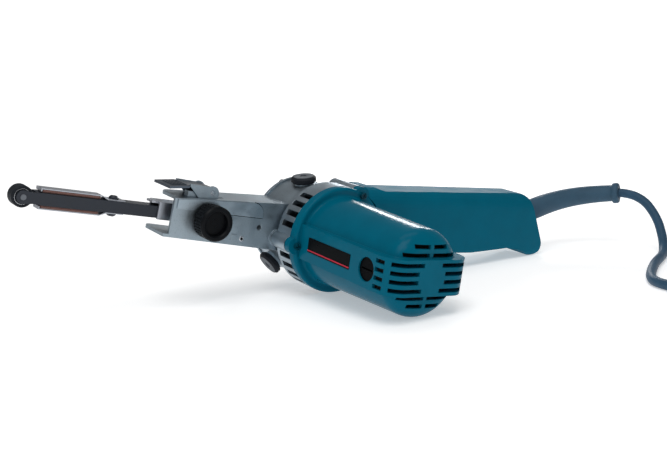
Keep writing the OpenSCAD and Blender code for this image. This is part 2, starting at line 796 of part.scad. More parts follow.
module housing_screws() {
    color([0.3, 0.3, 0.32]) posed()
        at_lugs()
            difference() {
                union() {
                    rod_z(0, 0, lug_screw_d, bracket_m0 - 2 * web_t, shoulder_m + gap, rough);
                    rod_z(0, 0, lug_head_d, shoulder_m + snug, shoulder_m + lug_head_h, rough);
                }
                for (a = [0, 90])
                    rotate([0, 0, a])
                        translate([0, 0, shoulder_m + lug_head_h])
                            cube([lug_head_d - 2 * gap, 2 * gap, lug_head_h], center = true);
            }
}

// Head, in the arm's own turn
catch_w = 3;
catch_m0 = arm_t / 2 - catch_w / 4;
catch_m1 = catch_m0 + catch_w;
function head_top(x) = head_top_front_y + (head_top_rear_y - head_top_front_y)
    * (head_front_x - x) / (head_front_x - head_rear_x);
function head_low(x) = -head_low_front_y - (head_low_rear_y - head_low_front_y)
    * (head_lip_x - x) / (head_lip_x - head_rear_x);
module head_plate(x0, side) {
    polygon([[-x0, side > 0 ? head_top(x0) : head_low(x0)], [-head_rear_x, side > 0 ? head_top(head_rear_x) : head_low(head_rear_x)],
        [-head_rear_x, (side > 0 ? head_top(head_rear_x) : head_low(head_rear_x)) - side * head_wall],
        [-x0, (side > 0 ? head_top(x0) : head_low(x0)) - side * head_wall]]);
}
module head_inner() {
    polygon([[-head_lip_x - e, head_top(head_lip_x) - head_wall], [0, head_top(0) - head_wall],
        [0, head_low(0) + head_wall], [-head_lip_x - e, head_low(head_lip_x) + head_wall]]);
}
module corner_cut(x, turn) {
    rotate([-90, 0, 0])
        translate([-x, head_half, 0])
            rotate([0, 0, turn])
                difference() {
                    translate([-e, -head_corner_r, -3 * drum_r / 2])
                        cube([head_corner_r + e, head_corner_r + e, 3 * drum_r]);
                    translate([head_corner_r, -head_corner_r, -3 * drum_r / 2 - e])
                        cylinder(r = head_corner_r, h = 3 * drum_r + 2 * e, $fn = mid);
                }
}
module at_bumpers() {
    for (b = [[bumper_top_angle, bumper_top_seat_r], [bumper_low_angle, bumper_seat_r]])
        let ($seat = b[1])
            rotate([0, 0, 90 + b[0]])
                rotate([0, 90, 0])
                    children();
}
module head_frame() {
    color([0.66, 0.69, 0.71]) headed() {
        difference() {
            union() {
                difference() {
                    union() {
                        difference() {
                            translate([0, 0, -head_half])
                                linear_extrude(2 * head_half)
                                    head_plate(head_lip_x, -1);
                            corner_cut(head_lip_x, 0);
                        }
                        difference() {
                            translate([0, 0, -head_half])
                                linear_extrude(2 * head_half)
                                    head_plate(head_top_x, 1);
                            corner_cut(head_top_x, 0);
                        }
                        translate([0, 0, head_half - head_wall])
                            linear_extrude(head_wall)
                                polygon([[-head_front_x, head_low(head_front_x)], [-head_front_x, head_top(head_front_x)],
                                    [-head_rear_x, head_top(head_rear_x)], [-head_rear_x, head_low(head_rear_x)]]);
                        spun([[drum_r - drum_wall, -head_half], [drum_r, -head_half], [drum_r, bracket_m0 - snug],
                            [drum_r - drum_wall, bracket_m0 - snug]]);
                        at_bumpers()
                            translate([0, 0, drum_r - drum_wall])
                                cylinder(d = bumper_boss_d, h = $seat - drum_r + drum_wall, $fn = mid);
                        rotate([0, 0, head_turn])
                            at_lugs()
                                rod_z(0, 0, 2 * lug_r, bracket_m0 - 4 * web_t, bracket_m0 - gap);
                    }
                    // belt way
                    translate([0, 0, -head_half - e])
                        linear_extrude(2 * head_half - head_wall + e)
                            head_inner();
                    rod_z(0, 0, 2 * (drum_r - drum_wall), -head_half - e, bracket_m0 + e, fine);
                }
                bar(-rib_x, -rib_x - rib_t, -rib_half, rib_half, -rib_half, head_half - head_wall + snug);
            }
            rod_x(-rib_x - 2 * rib_t, -rib_x + rib_t, rod_d + 2 * snug, 0, 0);
            rod_z(-knob_x, 0, knob_screw_d + 2 * run_gap, head_half - 2 * head_wall, head_half + e);
            rod_z(-port_x, -port_drop, port_d, head_half - 2 * head_wall, head_half + e);
            at_bumpers()
                translate([0, 0, drum_r - 2 * drum_wall])
                    cylinder(d = bumper_screw_d - 2 * gap, h = drum_r, $fn = rough);
            rotate([0, 0, head_turn])
                at_lugs()
                    rod_z(0, 0, lug_screw_d + 2 * snug, bracket_m0 - 3 * web_t, bracket_m0 + e, rough);
            // way for the lever's catch, beside the belt
            bar(-lever_pin_x - lever_pin_d, -lever_pin_x + 3 * lever_pin_d, 0, 2 * head_top_rear_y, catch_m0 - gap, catch_m1 + gap);
        }
    }
}
module head_panel() {
    color([0.66, 0.69, 0.71]) headed()
        translate([0, 0, head_half + snug])
            linear_extrude(panel_t)
                difference() {
                    union() {
                        polygon([[-panel_front_x, panel_low_y], [-panel_front_x, head_top(panel_front_x) - panel_top_drop],
                            [-panel_rear_x - panel_corner_r, head_top(panel_rear_x + panel_corner_r) - panel_top_drop],
                            [-panel_rear_x - panel_corner_r, panel_low_y]]);
                        polygon(concat(
                            arc([-panel_rear_x - panel_corner_r, head_top(panel_rear_x + panel_corner_r) - panel_top_drop - panel_corner_r],
                                panel_corner_r, 90, 0, 10),
                            [[-panel_rear_x, panel_low_y], [-panel_rear_x - panel_corner_r, panel_low_y]]));
                    }
                    translate([-knob_x, 0])
                        circle(d = knob_d + 4 * gap, $fn = mid);
                }
}
module belt_cover() {
    color([0.1, 0.1, 0.11]) headed()
        difference() {
            union() {
                rod_z(0, 0, 2 * (drum_r + cover_rim), -head_half - belt_cover_t - snug, -head_half - snug, fine);
                translate([0, 0, -head_half - belt_cover_t - snug])
                    linear_extrude(belt_cover_t)
                        polygon([[-belt_cover_x, head_top(belt_cover_x) - gap], [-head_rear_x, head_top(head_rear_x) - gap],
                            [-head_rear_x, head_low(head_rear_x) + gap], [-belt_cover_x, head_low(belt_cover_x) + gap]]);
            }
            for (s = cover_spots)
                    rod_z(s[0], s[1], cover_screw_d + 2 * snug, -head_half - 2 * belt_cover_t, -head_half + e, rough);
        }
}
cover_rim = 1.2;
cover_screw_d = 2.6;
cover_head_d = 6;
cover_head_h = 2;
cover_pitch_r = drum_r - drum_wall / 2;
cover_turns = [0, 120, 240];
cover_spots = [for (a = cover_turns) cover_pitch_r * [cos(a), sin(a)]];
module cover_screws() {
    color([0.3, 0.3, 0.32]) headed()
        for (s = cover_spots)
            difference() {
                union() {
                    rod_z(s[0], s[1], cover_screw_d, -head_half - belt_cover_t - cover_head_h / 2, -head_half - snug, rough);
                    rod_z(s[0], s[1], cover_head_d, -head_half - belt_cover_t - cover_head_h, -head_half - belt_cover_t - 2 * snug, rough);
                }
                translate([s[0], s[1], -head_half - belt_cover_t - cover_head_h])
                    cube([cover_head_d + e, 2 * gap, cover_head_h], center = true);
            }
}

// Arm, roller and carrier
module front_roller() {
    h = roller_w / 2;
    r = roller_d / 2;
    rim = 1.2;
    dish = 0.9;
    color([0.09, 0.1, 0.11]) headed()
        translate([-belt_reach, 0, 0])
            difference() {
                spun([[roller_pin_d / 2 + run_gap, -h], [r - 2 * rim, -h], [r - 2 * rim, -h], [r - rim / 2, -h], [r, -h + rim / 2],
                    [r, h - rim / 2], [r - rim / 2, h], [roller_pin_d / 2 + run_gap, h]]);
                for (s = [-1, 1])
                    translate([0, 0, s * h - dish])
                        difference() {
                            cylinder(r = r - 1.5 * rim, h = 2 * dish, $fn = mid);
                            translate([0, 0, -e])
                                cylinder(r = r - 2.1 * rim, h = 3 * dish, $fn = mid);
                        }
            }
}
module roller_pin() {
    color([0.75, 0.76, 0.78]) headed()
        rod_z(-belt_reach, 0, roller_pin_d, -arm_t / 2 - gap / 2, arm_t / 2 + gap / 2);
}
module arm_bar() {
    neck = 6;
    color([0.13, 0.15, 0.18]) headed()
        difference() {
            translate([0, 0, -arm_t / 2])
                linear_extrude(arm_t)
                    polygon(concat(arc([-belt_reach, 0], fork_h / 2, 90, 270, 16),
                        [[-pad_front_x - neck, -arm_h / 2 + gap], [-pad_front_x, -arm_h / 2], [-arm_tail_x, -arm_h / 2],
                        [-arm_tail_x, arm_h / 2], [-pad_front_x, arm_h / 2], [-pad_front_x - neck, arm_h / 2 - gap]]));
            bar(-belt_reach - roller_d, -belt_reach + fork_slot_l, -arm_h, arm_h, -fork_slot_w / 2, fork_slot_w / 2);
            rod_z(-belt_reach, 0, roller_pin_d + 2 * snug, -arm_t, arm_t);
            rod_z(-carrier_pin_x, 0, carrier_pin_d + 2 * snug, -arm_t, arm_t);
            translate([-leaf_screw_x, -arm_h, 0])
                rotate([-90, 0, 0])
                    cylinder(d = leaf_screw_d + 2 * snug, h = 2 * arm_h, $fn = rough);
        }
}
module leaf(side) {
    y0 = arm_h / 2 + snug;
    y1 = arm_h / 2 + pad_t + 2 * snug;
    hook = 1.4;
    difference() {
        translate([0, 0, -pad_w / 2])
            linear_extrude(pad_w)
                scale([1, side])
                    polygon([[-pad_front_x - hook, y0 + leaf_t], [-pad_front_x - hook, y1 + leaf_t], [-pad_rear_x - leaf_t, y1 + leaf_t],
                        [-leaf_foot_x + leaf_t, y0 + leaf_t], [-leaf_rear_x, y0 + leaf_t], [-leaf_rear_x, y0],
                        [-leaf_foot_x, y0], [-pad_rear_x - leaf_t + gap, y1], [-pad_front_x - hook + leaf_t, y1],
                        [-pad_front_x - hook + leaf_t, y0 + leaf_t]]);
        translate([-leaf_screw_x, 0, 0])
            rotate([-90, 0, 0])
                cylinder(d = leaf_screw_d + 2 * snug, h = 4 * arm_h, center = true, $fn = rough);
    }
}
module top_leaf() {
    color([0.8, 0.8, 0.84]) headed() leaf(1);
}
module bottom_leaf() {
    color([0.8, 0.8, 0.84]) headed() leaf(-1);
}
module pad(side) {
    y0 = arm_h / 2 + snug;
    bar(-pad_front_x + snug, -pad_rear_x - 2 * leaf_t, side * y0, side * (y0 + pad_t - snug), -pad_w / 2 - gap, pad_w / 2 + gap);
}
module top_pad() {
    color([0.42, 0.3, 0.26]) headed() pad(1);
}
module bottom_pad() {
    color([0.42, 0.3, 0.26]) headed() pad(-1);
}
module leaf_screws() {
    y = arm_h / 2 + leaf_t + 2 * snug;
    color([0.16, 0.16, 0.18]) headed()
        for (s = [0, 180])
            rotate([s, 0, 0])
                translate([-leaf_screw_x, 0, 0])
                    difference() {
                        rotate([-90, 0, 0])
                            spun([[0, 2 * snug], [leaf_screw_d / 2, 2 * snug], [leaf_screw_d / 2, y], [leaf_screw_head_d / 2, y],
                                [leaf_screw_head_d / 2, y + leaf_screw_head_h / 2],
                                [leaf_screw_head_d / 3, y + leaf_screw_head_h], [0, y + leaf_screw_head_h]]);
                        translate([0, y + leaf_screw_head_h, 0])
                            cube([leaf_screw_head_d, leaf_screw_head_h, 2 * gap], center = true);
                    }
}
catch_tip_x = lever_pin_x - 2 * lever_pin_d;
module arm_carrier() {
    inner = arm_t / 2 + snug;
    outer = inner + carrier_t;
    color([0.6, 0.63, 0.64]) headed()
        difference() {
            union() {
                for (s = [-1, 1])
                    bar(-carrier_front_x, -carrier_rear_x, -carrier_drop, carrier_rise, s * inner, s * outer);
                bar(-carrier_tongue_x, -carrier_rear_x, carrier_rise - carrier_t, carrier_rise, -outer, outer);
                bar(-carrier_rear_x - carrier_t, -carrier_rear_x, -carrier_drop, carrier_rise, -outer, outer);
            }
            rod_x(-carrier_rear_x - 2 * carrier_t, -carrier_rear_x + carrier_t, rod_d + 2 * run_gap, 0, 0);
            rod_z(-carrier_pin_x, 0, carrier_pin_d + 2 * snug, -2 * outer, 2 * outer);
            for (s = [-1, 1])
                bar(-carrier_tongue_x - e, -carrier_front_x, 0, 2 * carrier_rise, s * inner * 0.7, s * outer * 2);
            // notch for the lever's catch
            bar(-catch_tip_x - arm_travel - catch_w, -catch_tip_x - arm_travel, carrier_rise - carrier_t - e, carrier_rise + e,
                catch_m0 - gap, outer + e);
        }
}
module carrier_pin() {
    color([0.5, 0.5, 0.53]) headed()
        rod_z(-carrier_pin_x, 0, carrier_pin_d, -arm_t / 2 - carrier_t - gap / 2, arm_t / 2 + carrier_t + gap / 2);
}
module guide_rod() {
    color([0.7, 0.71, 0.73]) headed()
        rod_x(-rod_front_x, -rib_x, rod_d, 0, 0);
}
spring_len = carrier_rear_x - rib_x - rib_t - 2 * gap;
function spring_at(t) = [-carrier_rear_x + gap + spring_wire_d / 2 + t * (spring_len - spring_wire_d),
    spring_mid_d / 2 * cos(360 * spring_turns * t), spring_mid_d / 2 * sin(360 * spring_turns * t)];
module tension_spring() {
    color([0.55, 0.56, 0.58]) headed()
        tube([for (i = [0:8 * spring_turns]) spring_at(i / (8 * spring_turns))], spring_wire_d / 2, 6);
}
echo(spring_gap = (spring_len - spring_wire_d) / spring_turns - spring_wire_d);

// Knob, lever and bumpers
module tracking_knob() {
    z0 = head_half + panel_t + gap;
    r = knob_d / 2;
    color([0.08, 0.1, 0.12]) headed()
        translate([-knob_x, 0, z0])
            difference() {
                spun([[knob_screw_d / 2 + snug, 0], [r - knob_bevel, 0], [r, knob_bevel], [r, knob_h - knob_bevel],
                    [r - knob_bevel, knob_h], [knob_recess_d / 2 + knob_bevel, knob_h], [knob_recess_d / 2, knob_h - knob_bevel],
                    [knob_recess_d / 2, knob_h - knob_recess_h], [knob_screw_d / 2 + snug, knob_h - knob_recess_h]]);
                for (i = [0:knob_grooves - 1])
                    rotate([0, 0, 360 * i / knob_grooves])
                        translate([r, 0, -e])
                            cylinder(d = knob_groove_d, h = knob_h - knob_bevel, $fn = 16);
            }
}
module knob_screw() {
    color([0.5, 0.5, 0.53]) headed()
        rod_z(-knob_x, 0, knob_screw_d, arm_t / 2 + carrier_t + gap, head_half + panel_t + gap + knob_h - knob_recess_h);
}
module below_top() {
    translate([0, 0, -head_half])
        linear_extrude(2 * head_half)
            polygon([[-head_lip_x, 0], [-head_lip_x, head_top(head_lip_x) + snug],
                [-head_rear_x, head_top(head_rear_x) + snug], [-head_rear_x, 0]]);
}
module lever_ears() {
    color([0.6, 0.63, 0.65]) headed()
        for (s = [-1, 1])
            difference() {
                translate([0, 0, s > 0 ? ear_half - ear_t : -ear_half])
                    linear_extrude(ear_t)
                        union() {
                            polygon([[-ear_front_x, ear_front_y], [-ear_front_x, ear_front_y - ear_t], [-ear_foot_x, head_top(ear_foot_x) + snug],
                                [-ear_rear_x, head_top(ear_rear_x) + snug], [-ear_rear_x, lever_pin_y], [-lever_pin_x, lever_pin_y + lever_pin_d]]);
                            translate([-lever_pin_x, lever_pin_y])
                                circle(r = lever_pin_x - ear_rear_x, $fn = mid);
                        }
                rod_z(-lever_pin_x, lever_pin_y, lever_pin_d + 2 * snug, -2 * ear_half, 2 * ear_half);
                below_top();
            }
}
module lever_pin() {
    color([0.7, 0.71, 0.73]) headed()
        rod_z(-lever_pin_x, lever_pin_y, lever_pin_d, -ear_half - gap / 2, ear_half + gap / 2);
}
module release_lever() {
    hub_r = lever_pin_d / 2 + lever_t;
    inner = ear_half - ear_t - gap;
    slope = (lever_rear_y - lever_front_y) / (lever_front_x - lever_pad_rear_x);
    rear_x = ear_front_x + gap;
    color([0.58, 0.61, 0.63]) headed()
        difference() {
            union() {
                // thumb plate
                translate([0, 0, -lever_w / 2])
                    linear_extrude(lever_w)
                        polygon([[-lever_front_x, lever_front_y], [-lever_front_x, lever_front_y + lever_t],
                            [-rear_x - gap, lever_rear_y + lever_t], [-rear_x - gap, lever_rear_y]]);
                translate([0, 0, -inner])
                    linear_extrude(2 * inner)
                        polygon([[-rear_x - gap, lever_rear_y], [-rear_x - gap, lever_rear_y + lever_t], [-lever_pin_x, lever_pin_y + hub_r],
                            [-lever_pin_x, lever_pin_y + hub_r - lever_t]]);
                rod_z(-lever_pin_x, lever_pin_y, 2 * hub_r, -inner, inner);
                for (i = [1:lever_ridges])
                    bar(-lever_front_x + i * 2 * lever_ridge_w + lever_t, -lever_front_x + i * 2 * lever_ridge_w + lever_ridge_w + lever_t,
                        lever_front_y + lever_t / 2 + slope * i * 2 * lever_ridge_w,
                        lever_front_y + lever_t + lever_ridge_h + slope * i * 2 * lever_ridge_w, -lever_w / 3, lever_w / 3);
                // catch that holds the arm
                translate([0, 0, catch_m0])
                    linear_extrude(catch_w)
                        polygon([[-lever_pin_x - lever_t, lever_pin_y], [-lever_pin_x + lever_t, lever_pin_y],
                            [-catch_tip_x, carrier_rise + 2 * gap], [-catch_tip_x - catch_w, carrier_rise + 2 * gap]]);
            }
            rod_z(-lever_pin_x, lever_pin_y, lever_pin_d + 2 * run_gap, -lever_w, lever_w);
        }
}
module lever_stop() {
    color([0.06, 0.06, 0.07]) headed()
        difference() {
            bar(-ear_front_x + gap, -ear_foot_x - 2 * gap, head_low_rear_y - head_low_front_y, stop_top_y, ear_half - ear_t / 2 - stop_w, ear_half - ear_t - gap);
            below_top();
        }
}
module bumpers() {
    bevel = 1.4;
    color([0.07, 0.07, 0.08]) headed()
        at_bumpers()
            translate([0, 0, $seat + snug])
                spun([[bumper_screw_d / 2 + snug, 0], [bumper_d / 2 - bevel, 0], [bumper_d / 2, bevel], [bumper_d / 2, bumper_h - bevel],
                    [bumper_d / 2 - bevel, bumper_h], [bumper_screw_d / 2 + snug, bumper_h]]);
}
module bumper_screws() {
    color([0.35, 0.35, 0.37]) headed()
        at_bumpers() {
            translate([0, 0, $seat + snug])
                cylinder(d = bumper_screw_d, h = bumper_h / 2, $fn = rough);
            translate([0, 0, drum_r - drum_wall + gap])
                cylinder(d = bumper_screw_d - 2 * gap - 2 * snug, h = $seat - drum_r + drum_wall, $fn = rough);
        }
}

// Drive
pulley_wall = 6;
nut_h = 3.6;
nut_d = 11;
module drive_pulley() {
    r = pulley_d / 2;
    h = pulley_w / 2;
    color([0.18, 0.19, 0.2]) posed()
        difference() {
            spun([[shaft_d / 2 + snug, -h], [r - pulley_crown - gap, -h], [r - pulley_crown, -h + gap], [r, 0], [r - pulley_crown, h - gap],
                [r - pulley_crown - gap, h], [shaft_d / 2 + snug, h]]);
            for (i = [0:5])
                rotate([0, 0, 60 * i])
                    rod_z(r - pulley_wall / 2 - gap, 0, pulley_wall / 2, -h - e, h + e, rough);
        }
}
module pulley_nut() {
    color([0.55, 0.55, 0.57]) posed()
        difference() {
            rod_z(0, 0, nut_d, -pulley_w / 2 - nut_h, -pulley_w / 2 - snug, 6);
            rod_z(0, 0, shaft_d + 2 * snug, -head_half, head_half);
        }
}
module motor_shaft() {
    color([0.65, 0.66, 0.68]) posed() {
        rod_z(0, 0, shaft_d, -pulley_w / 2 - nut_h - gap, rear_bearing_m + rear_bearing_w - gap);
        rod_z(0, 0, shaft_d + web_t, pulley_w / 2 + snug, bracket_m0 + web_t - snug);
    }
}
module armature_core() {
    teeth = 12;
    color([0.42, 0.43, 0.45]) posed()
        difference() {
            rod_z(0, 0, 2 * armature_r, core_m, core_m + core_l, fine);
            rod_z(0, 0, shaft_d + 2 * snug, 0, barrel_end_m);
            for (i = [0:teeth - 1])
                rotate([0, 0, 360 * i / teeth])
                    rod_z(armature_r, 0, web_t, core_m - e, core_m + core_l + e, 16);
        }
}
module armature_windings() {
    r0 = shaft_d / 2 + snug;
    r1 = armature_r - web_t;
    color([0.55, 0.27, 0.12]) posed()
        for (z = [core_m - winding_l, core_m + core_l])
            translate([0, 0, z])
                spun([[r0, snug], [r1 - web_t, snug], [r1, web_t], [r1, winding_l - web_t], [r1 - web_t, winding_l - snug], [r0, winding_l - snug]]);
}
commutator_m = brush_m - commutator_l / 2;
module commutator() {
    color([0.7, 0.42, 0.22]) posed()
        difference() {
            rod_z(0, 0, 2 * commutator_r, commutator_m, commutator_m + commutator_l, fine);
            rod_z(0, 0, shaft_d + 2 * snug, 0, barrel_end_m);
            for (i = [0:23])
                rotate([0, 0, 15 * i])
                    bar(commutator_r - gap, commutator_r + e, -gap / 2, gap / 2, commutator_m - e, commutator_m + commutator_l + e);
        }
}
fan_m0 = bracket_m0 + web_t + front_bearing_w + 2 * gap;
fan_m1 = seam_m - 2 * gap;
module cooling_fan() {
    color([0.3, 0.31, 0.33]) posed()
        difference() {
            union() {
                rod_z(0, 0, 2 * fan_r, fan_m1 - fan_blade_t, fan_m1, fine);
                rod_z(0, 0, shaft_d + 2 * web_t, fan_m0, fan_m1);
                for (i = [0:fan_blades - 1])
                    rotate([0, 0, 360 * i / fan_blades])
                        bar(shaft_d, fan_r - gap, -fan_blade_t / 2, fan_blade_t / 2, fan_m0, fan_m1 - fan_blade_t / 2);
            }
            rod_z(0, 0, shaft_d + 2 * snug, 0, barrel_end_m);
        }
}
module bearing(d, w, z) {
    race = 2.6;
    translate([0, 0, z]) {
        spun([[shaft_d / 2 + snug, 0], [shaft_d / 2 + race, 0], [shaft_d / 2 + race, gap], [d / 2 - race, gap], [d / 2 - race, 0], [d / 2, 0],
            [d / 2, w], [d / 2 - race, w], [d / 2 - race, w - gap], [shaft_d / 2 + race, w - gap], [shaft_d / 2 + race, w], [shaft_d / 2 + snug, w]]);
    }
}
module front_bearing() {
    color([0.6, 0.61, 0.63]) posed() bearing(front_bearing_d, front_bearing_w, bracket_m0 + web_t + snug);
}
module rear_bearing() {
    color([0.6, 0.61, 0.63]) posed() bearing(rear_bearing_d, rear_bearing_w - snug, rear_bearing_m);
}
window_d = 7;
module field_core() {
    color([0.36, 0.37, 0.4]) posed()
        difference() {
            rod_z(0, 0, 2 * field_r, core_m, core_m + core_l, fine);
            rod_z(0, 0, 2 * (armature_r + air_gap), 0, barrel_end_m, fine);
            for (a = [45:90:315])
                rotate([0, 0, a])
                    rod_z(armature_r + air_gap + web_t, 0, window_d, core_m - e, core_m + core_l + e, rough);
        }
}
module field_coils() {
    r = armature_r + air_gap + web_t;
    d = window_d - 4 * gap;
    color([0.5, 0.2, 0.1]) posed() {
        for (a = [45:90:315])
            rotate([0, 0, a])
                rod_z(r, 0, d, core_m - winding_l, core_m + core_l + winding_l, rough);
        for (z = [core_m - winding_l + gap, core_m + core_l + gap])
            for (a = [-45, 135])
                rotate([0, 0, a])
                    translate([0, 0, z])
                        rotate_extrude(angle = 90, $fn = fine)
                            translate([r - d / 2 + gap, 0])
                                square([d - 2 * gap, winding_l - 2 * gap]);
    }
}
module fan_baffle() {
    color([0.12, 0.12, 0.13]) posed()
        difference() {
            spun([[fan_r - 3 * ring_wall, seam_m + gap], [collar_r - ring_wall - snug, seam_m + gap],
                [collar_r - ring_wall - snug, seam_m + 4 * gap], [fan_r - 3 * ring_wall, seam_m + 4 * gap]]);
            at_lugs()
                rod_z(0, 0, lug_screw_d + 2 * gap, seam_m, shoulder_m, rough);
        }
}
holder_x0 = 12.2;
holder_x1 = 27.4;
holder_wall = 1;
module brush_holders() {
    color([0.68, 0.55, 0.25]) posed()
        for (s = [-1, 1])
            difference() {
                bar(s * holder_x0, s * holder_x1, -brush_t / 2 - holder_wall, brush_t / 2 + holder_wall,
                    brush_m - brush_w / 2 - holder_wall, brush_m + brush_w / 2 + holder_wall);
                bar(s * (holder_x0 - e), s * (holder_x1 + e), -brush_t / 2 - snug, brush_t / 2 + snug,
                    brush_m - brush_w / 2 - snug, brush_m + brush_w / 2 + snug);
            }
}
module carbon_brushes() {
    color([0.15, 0.15, 0.16]) posed()
        for (s = [-1, 1])
            difference() {
                bar(s * (commutator_r - gap), s * (holder_x1 - gap), -brush_t / 2, brush_t / 2, brush_m - brush_w / 2, brush_m + brush_w / 2);
                rod_z(0, 0, 2 * (commutator_r + gap), 0, barrel_end_m, fine);
            }
}
module brush_caps() {
    x = band_half - brush_cap_sink;
    color([0.03, 0.04, 0.05]) posed()
        for (s = [-1, 1])
            rotate([0, 0, s > 0 ? 0 : 180])
                difference() {
                    union() {
                        rod_x(x - brush_cap_h, x, brush_cap_d, 0, brush_m);
                        rod_x(holder_x1 + snug, x - brush_cap_h + e, brush_t, 0, brush_m);
                    }
                    translate([x, 0, brush_m])
                        cube([2 * brush_cap_sink, 3 * gap, brush_cap_d * 0.7], center = true);
                }
}

// Trigger, switch and cord
module trigger() {
    z0 = handle_mid_m - trigger_w / 2;
    web = 3;
    color([0.05, 0.05, 0.06]) posed()
        translate([0, 0, z0])
            linear_extrude(trigger_w)
                polygon(concat(
                    [[trigger_x, trigger_top_y], [trigger_x, trigger_low_y + trigger_w],
                        [trigger_x + web, trigger_low_y]],
                    arc([trigger_x + trigger_l - trigger_w, trigger_low_y + trigger_w + web], trigger_w, 270, 360, 8),
                    [[trigger_x + trigger_l, trigger_top_y]]));
}
module switch_body() {
    lift = trigger_travel + gap;
    color([0.09, 0.09, 0.1]) posed()
        bar(trigger_x - 2 * gap, trigger_x + switch_l, trigger_top_y + lift, trigger_top_y + lift + switch_h,
            handle_far_m + shell_t + snug, handle_near_m - shell_t - snug);
}
inner_route = [[clamp_x - clamp_l, clamp_y, handle_mid_m], [clamp_x, clamp_y, handle_mid_m],
    [clamp_x + clamp_l, clamp_y, handle_mid_m]];
module cord_clamp() {
    color([0.1, 0.1, 0.11]) posed()
        difference() {
            bar(clamp_x, clamp_x + clamp_l, clamp_y - clamp_h / 2, clamp_y + clamp_h / 2,
                handle_far_m + shell_t + snug, handle_near_m - shell_t - snug);
            rod_x(clamp_x - e, clamp_x + clamp_l + e, cord_d + gap, clamp_y, handle_mid_m, rough);
        }
}
module cord_guard() {
    color([0.2, 0.31, 0.38]) posed()
        pipe(guard_route, guard_radii, cord_d / 2 + gap, guard_sides);
}

// Route of the free cord on the floor
free_route = [
    [269, 0, 50], [273, -10.5, 48], [275, -20.5, 43], [275, -29, 35.5], [273.5, -36.5, 27], [270, -43, 18.5],
    [264.5, -49.5, 11], [256.5, -56, 6], [247, -62, 4.2], [232, -70, 4.2], [215, -79, 4.2], [199, -89, 4.2],
    [184, -99, 4.2], [171, -109, 4.2], [161.5, -119.5, 4.2], [157, -131.5, 4.2], [157, -144.5, 4.2], [161.5, -157, 4.2],
    [169, -166.5, 4.4], [180, -179, 4.8], [192, -192.5, 5.2]];
coil_place = [255, -165];
plug_lead = 34;
cord_sides = 10;
tie_t = 0.8;
tie_w = 10;
tie_gap = 0.4;
coil_z0 = cord_d / 2 + tie_t + tie_gap;
coil_rise = cord_d + 2 * gap;
coil_turn0 = 225;
coil_spin = 360 * coil_turns;
coil_in_r = coil_r - coil_pitch * coil_turns;
coil_total = 2 * coil_spin + 180;
loop_rings = 24;
function coil_point(r, a, z) = [coil_place[0] + r * cos(a), coil_place[1] + r * sin(a), z];
// Inwards on the floor, outwards on top
function coil_at(a) = a < coil_spin ? coil_point(coil_r - coil_pitch * a / 360, coil_turn0 + a, coil_z0)
    : a < coil_spin + 180 ? coil_point(coil_in_r, coil_turn0 + a, coil_z0 + coil_rise * (a - coil_spin) / 180)
    : coil_point(coil_in_r + coil_pitch * (a - coil_spin - 180) / 360, coil_turn0 + a, coil_z0 + coil_rise);
function heading(a) = [-sin(coil_turn0 + a), cos(coil_turn0 + a), 0];
coil_start = coil_at(0) - cord_d * heading(0);
coil_end = coil_at(coil_total) + plug_lead * heading(coil_total);
coil_count = round(loop_rings * coil_total / 360);
coil_steps = [for (i = [0:coil_count]) coil_at(coil_total * i / coil_count)];
// Least gap of the coil to itself
coil_gap = min([for (i = [0:coil_count]) for (j = [i + loop_rings / 4:coil_count]) norm(coil_steps[i] - coil_steps[j])]) - cord_d;
echo(coil_gap = coil_gap);
function length_of(p) = len(p) < 2 ? 0 : let (d = [for (i = [1:len(p) - 1]) norm(p[i] - p[i - 1])]) d * [for (x = d) 1];
free_cord = concat([set_down(guard_end)], free_route, [coil_start]);
echo(cord_length = length_of(free_cord) + length_of(coil_steps) + cord_d + plug_lead);
module mains_cord() {
    color([0.16, 0.25, 0.32])
        tube(concat([for (p = concat(inner_route, guard_route)) set_down(p)], free_route, [coil_start]), cord_d / 2, cord_sides);
}
module cord_coil() {
    color([0.16, 0.25, 0.32])
        tube(concat([coil_start], coil_steps, [coil_end]), cord_d / 2, 6);
}
module cord_tie() {
    r0 = coil_in_r - cord_d / 2 - tie_gap - tie_t;
    r1 = coil_r + cord_d / 2 + tie_gap + tie_t;
    top = coil_z0 + coil_rise + cord_d / 2 + tie_gap + tie_t;
    color([0.05, 0.05, 0.06])
        translate([coil_place[0] + tie_w / 2, coil_place[1], 0])
            rotate([90, 0, -90])
                linear_extrude(tie_w)
                    difference() {
                        translate([r0, 0])
                            offset(r = tie_t, $fn = rough)
                                translate([tie_t, tie_t])
                                    square([r1 - r0 - 2 * tie_t, top - 2 * tie_t]);
                        translate([r0 + tie_t, tie_t])
                            square([r1 - r0 - 2 * tie_t, top - 2 * tie_t]);
                    }
}
module at_plug() {
    translate(coil_end)
        rotate([0, 0, coil_turn0 + coil_total + 90])
            children();
}
plug_h = 2 * (coil_z0 + coil_rise);
module plug_face(x, w, h, t) {
    translate([x, 0, 0])
        rotate([90, 0, 90])
            linear_extrude(t)
                offset(r = plug_corner_r, $fn = rough)
                    square([w - 2 * plug_corner_r, h - 2 * plug_corner_r], center = true);
}
module mains_plug() {
    color([0.06, 0.06, 0.07]) at_plug()
        difference() {
            union() {
                hull() {
                    rod_x(snug, plug_neck_l, plug_neck_d, 0, 0, rough);
                    plug_face(plug_l / 2, plug_w, plug_h, plug_l / 6);
                }
                plug_face(plug_l / 2, plug_w, plug_h, plug_l / 2);
            }
            for (s = [-1, 1])
                rod_x(plug_l - pin_seat, plug_l + e, pin_d - 2 * gap + 2 * snug, s * pin_gap / 2, 0);
        }
}
